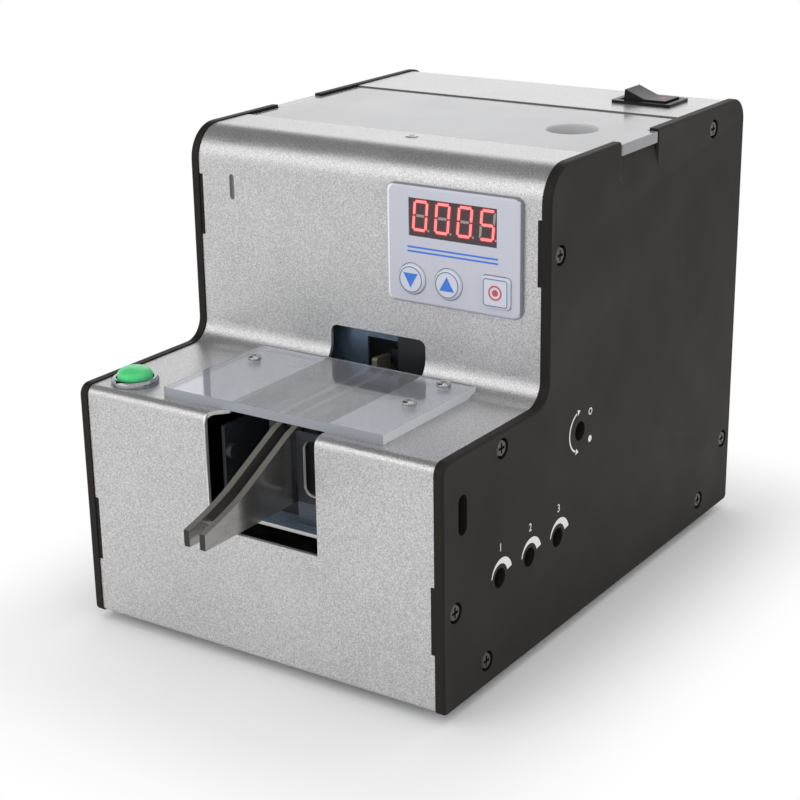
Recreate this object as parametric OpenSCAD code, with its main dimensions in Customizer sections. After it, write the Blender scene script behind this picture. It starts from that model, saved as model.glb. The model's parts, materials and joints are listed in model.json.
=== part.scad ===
// Desk-top counting feeder for small screws.
// A bent front panel, a rear panel and a base plate are held between two side plates.
// Screws lie in a hopper under a lift-off lid. Scoop wheels throw them on to a vibrating slotted rail,
// a brush roller sweeps off the ones that lie wrong, and a curved two-plate chute hands them out in front.
// Body frame: x from mid width, y back from the front edge of the side plates, z up from their underside.

/* [Body] */
// Width over the two side plates
body_w = 130; // [126:1:170]
// Depth of the side plates
body_d = 188; // [184:1:230]
// Height of the side plates
body_h = 144; // [140:1:190]
// Height of the low step in front
step_h = 75; // [72:1:84]
// Depth of the low step in front
step_d = 57; // [55:1:62]
// Thickness of a side plate
plate_t = 3; // [2.6:0.2:4]
// Thickness of the bent sheet panels
sheet_t = 1.2; // [0.8:0.1:1.6]
// Thickness of the base plate
base_t = 2; // [1.5:0.1:3]
// How far the sheet lies behind the plate edges
panel_set = 0.4; // [0.2:0.1:0.8]
// How far the rear panel lies in from the rear edges
rear_set = 2; // [1.6:0.1:3]

/* [Edges] */
// Radius at the front edge of the step
nose_r = 3.5; // [2.5:0.5:5]
// Radius of the hollow bend at the foot of the riser
bend_r = 7; // [4:0.5:9]
// Radius at the top of the riser
brow_r = 11; // [6:0.5:13]
// Radius at the top rear corner
rear_r = 7.5; // [5:0.5:10]
// Radius at the bottom corners of the side plates
sole_r = 1.8; // [1.7:0.1:4]

/* [Feet and screws] */
// Height of a rubber foot
foot_h = 3; // [2:0.5:8]
// Diameter of a rubber foot
foot_d = 12; // [8:1:18]
// Distance of a foot centre from the edges
foot_in = 16; // [11:1:18]
// Diameter of a case screw
screw_d = 2.9; // [2.4:0.1:3]
// Diameter of a case screw head
head_d = 5.7; // [5:0.1:6]
// Height of a case screw head
head_h = 1.5; // [1:0.1:1.7]

/* [Chute] */
// Distance of the chute middle from mid width
track_x = 5; // [3:0.5:7]
// Height of the cheek beside the vibrating rail
cheek_h = 5; // [3:0.1:5.2]
// Height of the sheet behind the riser window over the step
throat_h = 14.4; // [14:0.1:16]
// Width of the screw slot
slot_w = 3.5; // [2.5:0.1:4.5]
// Thickness of a chute plate
chute_t = 2; // [1.5:0.1:2.5]
// Reach of the chute in front of the body
chute_reach = 31.5; // [26:0.5:36]
// Height of the chute plates at the tip
tip_h = 4.8; // [3.5:0.1:6]
// Depth of the rail top under the step
rail_drop = 1.8; // [1.4:0.1:3]
// Slope of the chute in degrees
chute_slope = 27; // [24:1:28]
// Height of the chute underside over the base
chute_z = 49.2; // [48:0.2:50]

/* [Mouth] */
// Left side of the mouth
mouth_x0 = -16.5; // [-18:0.5:-15.5]
// Right side of the mouth
mouth_x1 = 22.6; // [22.6:0.2:28]
// Lower edge of the mouth
mouth_z0 = 38.8; // [33:0.2:39.4]
// Left side of the slot in the step
gap_x0 = -12.2; // [-13:0.2:-8]
// Right side of the slot in the step
gap_x1 = 22.5; // [19:0.5:22.5]
// Height of the riser window over the step
window_h = 12.6; // [10:0.2:14]
// Corner radius of the riser window
window_r = 2.4; // [1:0.2:4]

/* [Guard] */
// Left side of the clear guard
guard_x0 = -36; // [-38:1:-35]
// Right side of the clear guard
guard_x1 = 42.3; // [40:0.1:50]
// Front edge of the clear guard
guard_y0 = 5.6; // [4:0.1:10]
// Gap between the guard and the riser
guard_gap = 3.2; // [3:0.1:5]
// Thickness of the clear guard
guard_t = 3; // [2:0.5:5]

/* [Lid and hopper] */
// Depth of the top strip in front of the lid
strip_d = 26; // [25:0.5:28]
// Depth of the lid
lid_d = 61; // [60:0.5:64]
// Thickness of the lid
lid_t = 3.5; // [2.5:0.1:4.5]
// Depth of the lid below the top sheets
lid_drop = 0.4; // [0:0.1:0.8]
// Gap behind the lid
lid_gap = 0.9; // [0.4:0.1:1.4]
// Distance of the side notch behind the front edge of the lid
notch_in = 16.3; // [8:0.1:24]
// Length of the side notch
notch_w = 24; // [16:0.5:30]
// Diameter of the finger hole in the lid
finger_d = 16; // [14:0.5:22]
// Distance of the finger hole from mid width
finger_x = 40.5; // [30:0.5:44]
// How far the tub lies inside the lid edges
tub_in = 1; // [0.6:0.1:2]
// Wall thickness of the hopper tub
tub_t = 1.6; // [1.2:0.1:2]
// Room beside the tub for the drum gear
gear_side = 16; // [15:0.5:20]
// Room beside the tub for the roller gear
roller_side = 14; // [13:0.5:18]

/* [Drum] */
// Gap between the scoop wheels and the tub
drum_gap = 1.5; // [1.2:0.1:2.5]
// Diameter of the drum shaft
shaft_d = 6; // [4:0.5:8]
// Number of scoops on a wheel
scoops = 6; // [4:1:8]
// Depth of the drum shaft under the rail top
drum_drop = 21.5; // [20:0.5:22.5]
// Gap between the drum motor and the tub
motor_gap = 1.9; // [1.5:0.1:2.4]
// Teeth of the drum gear
drum_teeth = 40; // [40:2:42]
// Teeth of the drum pinion
pinion_teeth = 20; // [18:2:22]
// Radius of the drum gear motor
motor_r = 12; // [9:0.5:12.5]

/* [Roller] */
// Outer radius of the brush
brush_r = 10; // [8:0.5:10.5]
// Gap between the brush and the rail top
brush_gap = 3; // [2:0.2:4]
// Diameter of the roller shaft
roller_d = 4; // [3:0.5:5]
// Module of the roller gears
roller_m = 1; // [0.95:0.05:1]
// Teeth of the roller gear
roller_teeth = 26; // [24:2:28]
// Teeth of the roller pinion
roller_pin = 16; // [14:2:18]

/* [Lock gate] */
// Distance of the gate spindle in front of the tub
lock_back = 6; // [5.9:0.1:6.6]
// Depth of the gate spindle under the rail top
lock_drop = 12; // [10:0.5:13]
// Module of the gate rack
lock_m = 0.6; // [0.5:0.05:0.6]
// Teeth of the gate pinion
lock_teeth = 12; // [12:2:14]
// Diameter of the gate spindle
spindle_d = 5; // [4:0.2:5]
// Diameter of the screwdriver holes in the side plate
access_d = 6; // [5.5:0.1:7]

/* [Trimmers] */
// Distance of the first trimmer from the front edge
trim_y = 29.8; // [26:0.2:32]
// Spacing of the trimmers
trim_step = 16.85; // [14:0.05:17]
// Height of the trimmers
trim_z = 31; // [22:0.5:36]

/* [Keypad] */
// Width of the keypad plate
key_w = 45.8; // [45:0.2:50]
// Height of the keypad plate
key_h = 35.8; // [35.4:0.2:40]
// Thickness of the keypad plate
key_t = 1.8; // [1.2:0.1:2.4]
// Distance of the keypad middle from mid width
key_x = 33.2; // [30:0.2:33.6]
// Distance of the keypad middle under the top
key_drop = 27.2; // [26:0.2:28]
// Width of the number display
disp_w = 30; // [26:0.5:34]
// Height of the number display
disp_h = 11.4; // [9:0.2:12]
// Radius of a round key
key_r = 4.7; // [4:0.1:5]

/* [Start button and switch] */
// Distance of the start button from mid width
start_x = -52; // [-53:0.5:-46]
// Distance of the start button from the front edge
start_y = 11; // [10:0.5:14]
// Radius of the start button cap
start_r = 5.45; // [5:0.05:5.5]
// Travel of the start button
start_travel = 2.2; // [1:0.1:2.4]
// Distance of the rocker switch from mid width
rocker_x = 41.3; // [20:0.1:46]
// Distance of the rocker switch from the rear edge
rocker_in = 23; // [22:0.5:25]
// Width of the rocker switch bezel
rocker_w = 21; // [20.5:0.1:23]
// Depth of the rocker switch bezel
rocker_d = 15; // [14.4:0.1:17]
// Tilt of the rocker to either side in degrees
rocker_tilt = 11; // [7:0.5:12]

/* [Fits] */
// Radial running clearance of shafts
run_fit = 0.04; // [0.02:0.01:0.08]
// Gap between pieces that pass each other
pass_gap = 0.3; // [0.25:0.05:0.4]
// Gap between sheet and side plates
side_gap = 0.1; // [0.05:0.05:0.2]
// Backlash of the gear teeth
backlash = 0.16; // [0.1:0.02:0.24]

/* [Hidden] */
$fn = 48;
eps = 0.05;
in_x = body_w / 2 - plate_t;
edge_x = in_x - side_gap;
front_y = (chute_reach - body_d) / 2;
skin = panel_set + sheet_t;
step_z = step_h - panel_set;
riser_y = step_d + panel_set;
top_z = body_h - panel_set;
back_y = body_d - rear_set;
floor_z = panel_set + base_t;
wide = body_w / 130;
deep = (body_d - step_d) / 131;
lid_l = lid_d * deep;
lid_y0 = step_d + strip_d * deep;
lid_y1 = lid_y0 + lid_l;
lid_z = top_z - lid_drop - lid_t;
notch_y = lid_y0 + notch_in * deep;
notch_l = notch_w * deep;
rim_d = 8 * deep;
top_screw_y = lid_y0 - 5 * deep;
rail_top = step_z - rail_drop;
rail_h = 12;
rail_z = rail_top - rail_h;
track_l = track_x - slot_w / 2;
track_r = track_x + slot_w / 2;
hop_y = lid_y0 + lid_l / 2;
drum_z = rail_top - drum_drop;
tub_r = lid_l / 2 - tub_in;
drum_r = tub_r - drum_gap;
tub_x0 = -in_x + gear_side;
tub_x1 = in_x - roller_side;
tub_front = hop_y - tub_r - tub_t;
rim_top = top_z - sheet_t;
wheel_gap = 6.5;
gear_face = 5;
gear_x = tub_x0 - tub_t - 9.9;
motor_y = hop_y + tub_r + tub_t + motor_gap + motor_r;
drum_m = 2 * (motor_y - hop_y) / (drum_teeth + pinion_teeth);
motor_x = gear_x + gear_face + 3.1;
roll_y = tub_front + tub_t + brush_r + 3;
roll_z = rail_top + brush_gap + brush_r;
roll_gear_x = tub_x1 + tub_t + 3;
roll_gear_w = 4;
roll_motor_y = roll_y - roller_m * (roller_teeth + roller_pin) / 2;
lock_y = tub_front - lock_back;
lock_z = rail_top - lock_drop;
lock_r = lock_m * lock_teeth / 2;
lock_x = track_r + chute_t + 7;
lock_w = 4;
gate_lift = lock_r * PI * 100 / 180;
vib_y = riser_y + 4.6;
vib_l = tub_front - 3.4 - vib_y;
pad_x = key_x * wide;
key_z = body_h - key_drop;
disp_dz = 8.4;
key_dz = -10.3;
key_dx = [-13.9, -1.3, 15.1];
board_y = riser_y + 8.6;
shelf_z = mouth_z0 + 2.9;
shelf_y0 = 5;
shelf_y1 = step_d - 1;
wall_x0 = mouth_x0 + 2.2;
wall_x1 = gap_x1;
upright_x = track_r + chute_t + 1;
switch_x = rocker_x * wide;
rocker_y = body_d - rocker_in;
button_x = start_x * wide;
cover_x0 = guard_x0 * wide;
cover_x1 = guard_x1 * wide;
jack_x = 38 * wide;
jack_z = 24;
pivot_z = top_z - 1;
notch_a = [18.2, 38.7];
notch_b = [body_h - 34.6, body_h - 15.1];
notch_deep = 1.4;
tab_deep = 8.4;
case_screws = [
  [step_d + 6, body_h - 26],
  [body_d - 24, body_h - 7],
  [31, step_h - 5],
  [6.3, 29.6],
  [23, 7.6],
  [body_d - 24, 7.6],
  [body_d - 6, 24.6]
];
guard_screws_at = [
  [cover_x0 + 6.6, step_d - 16.4],
  [cover_x1 - 8, step_d - 8],
  [cover_x1 - 8, step_d - 26.4]
];

// Extrudes a side view, drawn in y and z, along x.
module along_x(x0, len) {
  translate([x0, 0, 0]) rotate([90, 0, 90]) linear_extrude(len) children();
}

// Extrudes a front view, drawn in x and z, along y.
module along_y(y0, len) {
  translate([0, y0 + len, 0]) rotate([90, 0, 0]) linear_extrude(len) children();
}

// Lays a cylinder along x from x0.
module rod_x(x0, len, r) {
  translate([x0, 0, 0]) rotate([0, 90, 0]) cylinder(h = len, r = r);
}

// The piece between a square corner at the origin and its rounding.
module corner(r) {
  difference() {
    translate([-eps, -eps]) square(r + eps);
    translate([r, r]) circle(r);
  }
}

// Rectangle about the origin with round corners.
module round_rect(w, h, r) {
  square([w - 2 * r, h], center = true);
  square([w, h - 2 * r], center = true);
  for (sx = [-1, 1])
    for (sy = [-1, 1])
      translate([sx * (w / 2 - r), sy * (h / 2 - r)]) circle(r);
}

// Side view of the body, drawn inwards by inset and by rear at the back.
module profile(inset, rear) {
  far = body_d - rear;
  difference() {
    union() {
      translate([inset, inset]) square([far - inset, step_h - 2 * inset]);
      translate([step_d + inset, inset]) square([far - step_d - inset, body_h - 2 * inset]);
      translate([step_d + inset, step_h - inset]) mirror([1, 0]) corner(bend_r + inset);
    }
    translate([inset, step_h - inset]) mirror([0, 1]) corner(nose_r - inset);
    translate([step_d + inset, body_h - inset]) mirror([0, 1]) corner(brow_r - inset);
    translate([far, body_h - inset]) rotate(180) corner(rear_r - inset);
    translate([inset, inset]) corner(sole_r - inset);
    translate([far, inset]) mirror([1, 0]) corner(sole_r - inset);
  }
}

// The bent sheet that follows the body outline.
module sheet_ring() {
  difference() {
    profile(panel_set, rear_set);
    profile(skin, rear_set + sheet_t);
  }
}

// A pair of screw tabs on the panel edges, with their outer faces at x.
module tab_pair(x, y0, y1, z0, z1) {
  for (s = [-1, 1])
    translate([s * (x - sheet_t / 2), (y0 + y1) / 2, (z0 + z1) / 2])
      cube([sheet_t, y1 - y0, z1 - z0], center = true);
}

// Bores of the case screws across the whole width.
module screw_bores(d) {
  for (p = case_screws)
    translate([0, p[0], p[1]]) rod_x(-body_w, 2 * body_w, d / 2);
}

// A pan head screw that points down the z axis, with its head seat at z = 0.
module pan_screw(len, d, hd, hh) {
  difference() {
    union() {
      translate([0, 0, -len]) cylinder(h = len + eps, d = d);
      cylinder(h = hh * 0.6, d = hd);
      translate([0, 0, hh * 0.6]) cylinder(h = hh * 0.4, d1 = hd, d2 = hd * 0.74);
    }
    for (a = [0, 90])
      rotate(a) translate([-hd * 0.28, -0.4, hh * 0.45]) cube([hd * 0.56, 0.8, hh]);
  }
}

// Involute function in degrees.
function inv(a) = tan(a) * 180 / PI - a;
function polar(r, a) = [r * cos(a), r * sin(a)];

// Half width angle of a tooth at radius r.
function tooth_angle(r, rp, rb, n) =
  90 / n - backlash / 2 / rp * 180 / PI + inv(25) - inv(acos(min(1, rb / r)));

// Outline of an involute gear with 25 degree flanks and one tooth on the first axis.
function gear_outline(m, n, steps = 3) =
  let (rp = m * n / 2, rb = rp * cos(25), ra = rp + 0.9 * m, rr = rp - 1.2 * m, rs = max(rb, rr))
  [for (i = [0 : n - 1]) let (c = i * 360 / n)
    each concat(
      [polar(rr, c - tooth_angle(rs, rp, rb, n))],
      [for (k = [0 : steps]) let (r = rs + (ra - rs) * k / steps)
        polar(r, c - tooth_angle(r, rp, rb, n))],
      [for (k = [steps : -1 : 0]) let (r = rs + (ra - rs) * k / steps)
        polar(r, c + tooth_angle(r, rp, rb, n))],
      [polar(rr, c + tooth_angle(rs, rp, rb, n))]
    )
  ];

// A spur gear with a bore, its teeth turned by phase.
module gear_2d(m, n, phase, bore) {
  difference() {
    rotate(phase) polygon(gear_outline(m, n));
    circle(r = bore);
  }
}

// A pad on the inner face of a side plate that fills the notch beside a bent tab of the front panel.
module side_pad(y0, span) {
  translate([in_x - notch_deep, y0, span[0] + 0.2])
    cube([notch_deep + eps, tab_deep, span[1] - span[0] - 0.4]);
}

// One side plate on the right, with or without the holes for the controls.
module side_plate(controls) {
  difference() {
    union() {
      along_x(in_x, plate_t) difference() {
        profile(0, 0);
        translate([notch_y, lid_z - pass_gap]) square([notch_l, body_h]);
        if (controls) {
          for (i = [0 : 2])
            translate([trim_y + i * trim_step, trim_z]) circle(d = access_d);
          translate([lock_y, lock_z]) circle(d = access_d);
          translate([10, step_h - 17.5]) round_rect(4.4, 12, 2.199);
        }
      }
      side_pad(panel_set, notch_a);
      side_pad(riser_y, notch_b);
    }
    screw_bores(screw_d + 0.4);
    for (p = case_screws)
      translate([0, p[0], p[1]]) rod_x(body_w / 2 - 1.8, 5, head_d / 2 + 0.25);
    along_y(notch_y, notch_l)
      polygon([
        [in_x + 0.6 * plate_t, lid_z], [body_w, lid_z],
        [body_w / 2 + eps, lid_z - 7], [body_w / 2, lid_z - 7]
      ]);
  }
}

module right_side_plate() {
  color("#26262a") side_plate(true);
}

module left_side_plate() {
  color("#26262a") mirror([1, 0, 0]) side_plate(false);
}

module base_plate() {
  color("#8f9195") difference() {
    union() {
      translate([-edge_x, skin + side_gap, panel_set])
        cube([2 * edge_x, back_y - sheet_t - skin - 2 * side_gap, base_t]);
      tab_pair(edge_x, 16, 30, panel_set + 0.5, 13.5);
      tab_pair(edge_x, body_d - 31, body_d - 17, panel_set + 0.5, 13.5);
    }
    screw_bores(screw_d + 0.1);
    foot_places() translate([0, 0, -1]) cylinder(h = 20, d = 4.2);
  }
}

// Puts its child at each of the four feet.
module foot_places() {
  for (sx = [-1, 1])
    for (y = [foot_in, body_d - foot_in])
      translate([sx * (body_w / 2 - foot_in), y, 0]) children();
}

module rubber_feet() {
  color("#1b1b1c") foot_places() {
    translate([0, 0, panel_set - 1]) cylinder(h = 1, d = foot_d);
    translate([0, 0, -foot_h]) cylinder(h = foot_h + panel_set - 1, d1 = foot_d - 1.2, d2 = foot_d);
    translate([0, 0, panel_set - eps]) cylinder(h = base_t + eps, d = 4);
  }
}

module case_screws() {
  color("#6d6e72") for (s = [0, 1])
    mirror([s, 0, 0])
      for (p = case_screws)
        translate([body_w / 2 - 1.8, p[0], p[1]]) rotate([0, 90, 0])
          pan_screw(plate_t + 2.6, screw_d, head_d, head_h);
}

module front_panel() {
  color("#b9babc") difference() {
    union() {
      along_x(-edge_x, 2 * edge_x) intersection() {
        sheet_ring();
        union() {
          translate([-1, -1]) square([1 + skin, step_h]);
          translate([-1, step_h / 2]) square([lid_y0 - pass_gap + 1, body_h]);
        }
      }
      tab_pair(in_x - notch_deep, riser_y + 0.4, riser_y + tab_deep, notch_b[0], notch_b[1]);
      tab_pair(in_x - notch_deep, panel_set + 0.4, panel_set + tab_deep, notch_a[0], notch_a[1]);
      tab_pair(edge_x, 25, 37, step_h - 11, step_z - 0.4);
    }
    screw_bores(screw_d + 0.1);
    mouth_cut();
    for (s = [-1, 1]) {
      translate([s * in_x, skin / 2, (notch_a[0] + notch_a[1]) / 2])
        cube([2 * notch_deep, 2 * skin, notch_a[1] - notch_a[0]], center = true);
      translate([s * in_x, step_d + skin / 2, (notch_b[0] + notch_b[1]) / 2])
        cube([2 * notch_deep, 2 * skin, notch_b[1] - notch_b[0]], center = true);
    }
    along_y(step_d - 1, 6) translate([pad_x, key_z]) square([key_w - 3, key_h - 3], center = true);
    along_y(step_d - 1, 1 + panel_set + sheet_t / 2)
      translate([button_x + 3, body_h - 18]) round_rect(1.8, 8, 0.89);
    translate([button_x, start_y, step_z - 5]) cylinder(h = 9, r = start_r + 0.55);
    for (p = guard_screws_at)
      translate([p[0], p[1], step_z - 5]) cylinder(h = 9, d = screw_d + 0.1);
    translate([track_x, top_screw_y, rim_top - 3]) cylinder(h = 9, d = screw_d + 0.1);
  }
}

// The mouth in the front face, the slot in the step and the window in the riser, as one tool.
module mouth_cut() {
  low = step_z - nose_r;
  along_y(-1, skin + 1.5) translate([mouth_x0, mouth_z0]) square([mouth_x1 - mouth_x0, low - mouth_z0 + eps]);
  translate([0, 0, low]) linear_extrude(nose_r + 3)
    polygon([
      [mouth_x0, -1], [mouth_x1, -1], [mouth_x1, panel_set], [mouth_x1, 2.4], [gap_x1, 4.4],
      [gap_x1, riser_y + 3], [gap_x0, riser_y + 3],
      [gap_x0, panel_set + 6.4], [mouth_x0, panel_set + 1.4]
    ]);
  along_y(step_d - bend_r - 4, bend_r + 9)
    translate([(gap_x0 + gap_x1) / 2, step_z + window_h / 2 - 5])
      round_rect(gap_x1 - gap_x0, window_h + 10, window_r);
}

module rear_panel() {
  color("#b9babc") difference() {
    union() {
      along_x(-edge_x, 2 * edge_x) intersection() {
        sheet_ring();
        union() {
          translate([lid_y1 + lid_gap, step_h]) square([body_d, body_h]);
          translate([back_y - sheet_t, -1]) square([10, body_h]);
        }
      }
      tab_pair(edge_x, body_d - 30, body_d - 18, body_h - 13, top_z - 0.4);
      tab_pair(edge_x, body_d - 12, back_y - 0.4, 18.5, 31);
    }
    screw_bores(screw_d + 0.1);
    translate([switch_x, rocker_y, rim_top - 1]) linear_extrude(4)
      square([rocker_w - 1.8, rocker_d - 1.8], center = true);
    translate([jack_x, back_y - 5, jack_z]) rotate([-90, 0, 0]) cylinder(h = 9, r = 4.1);
  }
}

module power_jack() {
  color("#1d1d1f") difference() {
    translate([jack_x, back_y, jack_z]) rotate([-90, 0, 0]) {
      translate([0, 0, -12]) cylinder(h = 12 + eps, r = 4);
      cylinder(h = 1.4, r = 5.6);
      translate([0, 0, -sheet_t - 2.4]) cylinder(h = 2.4, r = 6.4, $fn = 6);
    }
    translate([jack_x, back_y - 9, jack_z]) rotate([-90, 0, 0]) difference() {
      cylinder(h = 20, r = 2.9);
      translate([0, 0, -1]) cylinder(h = 8, r = 1);
    }
  }
}

module top_screw() {
  color("#8c8d91") translate([track_x, top_screw_y, top_z]) pan_screw(5, screw_d, 4, 0.35);
}

module chute_guard() {
  far = step_d - guard_gap;
  lift = max(0, min(guard_t / 2, (bend_r + 0.8 - guard_gap) * 0.42));
  color("#dfe6ee", 0.45) difference() {
    along_x(cover_x0, cover_x1 - cover_x0)
      polygon([
        [guard_y0, step_z], [step_d - bend_r - 0.4, step_z], [far, step_z + lift], [far, step_z + guard_t],
        [guard_y0, step_z + guard_t]
      ]);
    for (p = guard_screws_at)
      translate([p[0], p[1], step_z - 1]) cylinder(h = 9, d = screw_d + 0.4);
  }
}

module guard_screws() {
  color("#c9cacd") for (p = guard_screws_at)
    translate([p[0], p[1], step_z + guard_t]) pan_screw(guard_t + 5, screw_d, 4.4, 1.3);
}

// Side view of a chute plate: level rail, a short lead-in, a straight slope and a hollow run-out to the tip.
module chute_outline() {
  lead_y = 20;
  knee = [8, rail_top - 2.1];
  far = step_d + 1.2;
  end_y = knee[0] - 19;
  end_z = knee[1] - 19 * tan(chute_slope);
  mid_y = end_y - 0.39 * (end_y + chute_reach);
  mid_z = end_z - (end_y - mid_y) * tan(chute_slope);
  tip = [-chute_reach, chute_z + tip_h];
  polygon(concat(
    [[-chute_reach, chute_z], [far, chute_z], [far, rail_top], [lead_y, rail_top]],
    [for (i = [1 : 6]) let (u = i / 6)
      pow(1 - u, 2) * [lead_y, rail_top] + 2 * u * (1 - u) * [13, rail_top] + u * u * knee],
    [for (i = [0 : 8]) let (u = i / 8)
      pow(1 - u, 2) * [end_y, end_z] + 2 * u * (1 - u) * [mid_y, mid_z] + u * u * tip]
  ));
}

// Cross bolts and spacer pins of the chute, as [y, z].
function bolt_places() = [[step_d - 10.5, 55], [step_d - 3.5, 55]];
function pin_places() = [[-chute_reach + 10, chute_z + 3], [4, chute_z + 5]];
function eye_place() = [20, rail_top - 4];
function stop_place() = [36, rail_top - 6.5];

module chute_plate(x0) {
  along_x(x0, chute_t) difference() {
    chute_outline();
    for (p = bolt_places())
      translate(p) circle(d = 3.2);
    for (p = pin_places())
      translate(p) circle(d = 2.44);
    translate(eye_place()) circle(d = 2.4);
    translate(stop_place()) circle(d = 2.8);
  }
}

module chute_left_plate() {
  color("#8d8e8a") chute_plate(track_l - chute_t);
}

module chute_right_plate() {
  color("#8d8e8a") chute_plate(track_r);
}

module chute_bolts() {
  color("#77787c") {
    for (p = bolt_places())
      translate([0, p[0], p[1]]) {
        rod_x(track_l - chute_t - eps, slot_w + 2 * chute_t + 2 * eps, 1.5);
        rod_x(track_l - chute_t - 2, 2, 2.7);
        translate([track_r + chute_t + 1, 0, 0]) rotate([0, 90, 0])
          cylinder(h = 2, r = 3, center = true, $fn = 6);
      }
    for (p = pin_places())
      translate([0, p[0], p[1]]) rod_x(track_l - chute_t, slot_w + 2 * chute_t, 1.2);
  }
}

module chute_mount() {
  color("#3a3b3e") difference() {
    union() {
      translate([track_l - chute_t - 1, step_d - 14, shelf_z + sheet_t])
        cube([slot_w + 2 * chute_t + 2, 12.6, chute_z - shelf_z - sheet_t]);
      translate([track_l + side_gap, step_d - 14, shelf_z + sheet_t])
        cube([slot_w - 2 * side_gap, 12.6, 16]);
    }
    for (p = bolt_places())
      translate([0, p[0], p[1]]) rod_x(-body_w, 2 * body_w, 1.6);
  }
}

module chute_bracket() {
  up_h = rail_top - 1.5 - shelf_z;
  color("#3f4147") difference() {
    union() {
      translate([wall_x0, shelf_y0, shelf_z]) cube([wall_x1 - wall_x0, shelf_y1 - shelf_y0, sheet_t]);
      translate([wall_x0, shelf_y1 - sheet_t, floor_z])
        cube([wall_x1 - wall_x0, sheet_t, shelf_z - floor_z + eps]);
      translate([wall_x0, shelf_y1 - 16, floor_z]) cube([wall_x1 - wall_x0, 16, sheet_t]);
      translate([wall_x0, shelf_y0, shelf_z]) cube([sheet_t, shelf_y1 - shelf_y0, rail_top - 3 - shelf_z]);
      along_y(9, sheet_t) difference() {
        translate([upright_x, shelf_z]) square([wall_x1 - upright_x, up_h]);
        translate([(upright_x + 1.6 + wall_x1) / 2, shelf_z + up_h / 2 + 4.2])
          round_rect(wall_x1 - upright_x - 3.2, up_h - 12.6, 3);
      }
    }
    for (sx = [wall_x0 + 6, wall_x1 - 6])
      translate([sx, shelf_y1 - 10, 0]) cylinder(h = 10, d = 3.2);
  }
  color("#77787c") translate([wall_x0 + sheet_t, 7.5, 61.5]) rotate([0, 90, 0]) cylinder(h = 1.6, d = 4.6);
}

module count_sensor() {
  y0 = eye_place()[0] - 6;
  left = track_l - chute_t - 5;
  right = track_r + chute_t + 5;
  color("#222327") difference() {
    translate([left, y0, shelf_z + sheet_t])
      cube([right - left, 12, eye_place()[1] + 3.5 - shelf_z - sheet_t]);
    translate([track_l - chute_t - pass_gap, y0 - 1, chute_z - pass_gap])
      cube([slot_w + 2 * chute_t + 2 * pass_gap, 14, 40]);
    translate([0, eye_place()[0], eye_place()[1]]) rod_x(left + 2, right - left - 4, 1);
  }
}

module escapement_solenoid() {
  p = stop_place();
  x0 = track_l - chute_t - 13;
  color("#2b2c30") difference() {
    union() {
      translate([x0, p[0] - 7, p[1] - 7]) cube([9, 14, 12]);
      translate([x0, p[0] - 5, shelf_z + sheet_t]) cube([9, 10, p[1] - 7 - shelf_z - sheet_t + eps]);
    }
    translate([0, p[0], p[1]]) rod_x(x0 + 0.8, 20, 2.5 + pass_gap);
  }
}

module escapement_pin() {
  p = stop_place();
  color("#b4b5b8") translate([0, p[0], p[1]]) {
    rod_x(track_l - chute_t - 8, 4.6, 2.5);
    rod_x(track_l - chute_t - 3.5, slot_w + chute_t + 2.7, 1);
  }
}

module keypad_plate() {
  color("#c2c4d0") along_y(riser_y - key_t, key_t) translate([pad_x, key_z]) difference() {
    round_rect(key_w, key_h, 2.6);
    translate([0, disp_dz]) square([disp_w, disp_h], center = true);
    for (i = [0, 1])
      translate([key_dx[i], key_dz]) circle(r = key_r + pass_gap / 2);
    translate([key_dx[2], key_dz]) round_rect(9.4 + pass_gap, 9.4 + pass_gap, 1.4);
  }
}

module display_module() {
  color("#3a1a20") translate([pad_x, riser_y, key_z + disp_dz]) {
    translate([-disp_w / 2, 0, -disp_h / 2 - 1]) cube([disp_w, 8.6, disp_h + 2]);
    translate([-disp_w / 2 + 0.1, 0.4 - key_t, -disp_h / 2 + 0.1]) cube([disp_w - 0.2, key_t, disp_h - 0.2]);
  }
}

module keypad_board() {
  color("#1f5a3c") difference() {
    union() {
      translate([pad_x, board_y + 0.8, key_z]) cube([key_w + 6, 1.6, key_h], center = true);
      for (dx = key_dx)
        translate([pad_x + dx, board_y + eps, key_z + key_dz]) rotate([90, 0, 0]) {
          translate([-3, -3, 0]) cube([6, 6, 3.5]);
          translate([0, 0, 3.4]) cylinder(h = 1.7, r = 1.7);
        }
      for (s = [-1, 1])
        for (t = [-1, 1])
          translate([pad_x + s * (key_w / 2 + 0.9), riser_y + sheet_t, key_z + t * (key_h / 2 - 4.5)])
            rotate([-90, 0, 0]) cylinder(h = board_y - riser_y - sheet_t + eps, r = 2.1);
    }
    for (s = [-1, 1])
      for (t = [-1, 1])
        translate([pad_x + s * (key_w / 2 + 0.9), riser_y, key_z + t * (key_h / 2 - 4.5)])
          rotate([-90, 0, 0]) cylinder(h = 30, r = 1.1);
  }
}

// A round key: a domed cap, the rim that keeps it in the plate and the stem behind it.
module round_key(i) {
  translate([pad_x + key_dx[i], riser_y, key_z + key_dz]) rotate([90, 0, 0]) rotate_extrude()
    polygon([
      [0, -2.6], [1.5, -2.6], [1.5, -0.9], [key_r + 0.7, -0.9], [key_r + 0.7, -0.1], [key_r, -0.1],
      [key_r, key_t + 0.3], [key_r - 0.6, key_t + 0.9], [0, key_t + 1]
    ]);
}

module down_key() {
  color("#c9cbd6") round_key(0);
}

module up_key() {
  color("#c9cbd6") round_key(1);
}

module set_key() {
  color("#c9cbd6") translate([pad_x + key_dx[2], riser_y, key_z + key_dz]) rotate([90, 0, 0]) {
    translate([0, 0, -2.6]) cylinder(h = 2, r = 1.5);
    translate([0, 0, -0.9]) linear_extrude(0.8) round_rect(10.6, 10.6, 1.6);
    translate([0, 0, -0.2]) linear_extrude(key_t + 0.9) round_rect(9.4, 9.4, 1.3);
    translate([0, 0, key_t + 0.6]) linear_extrude(0.4) round_rect(8.6, 8.6, 1.1);
  }
}

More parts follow.
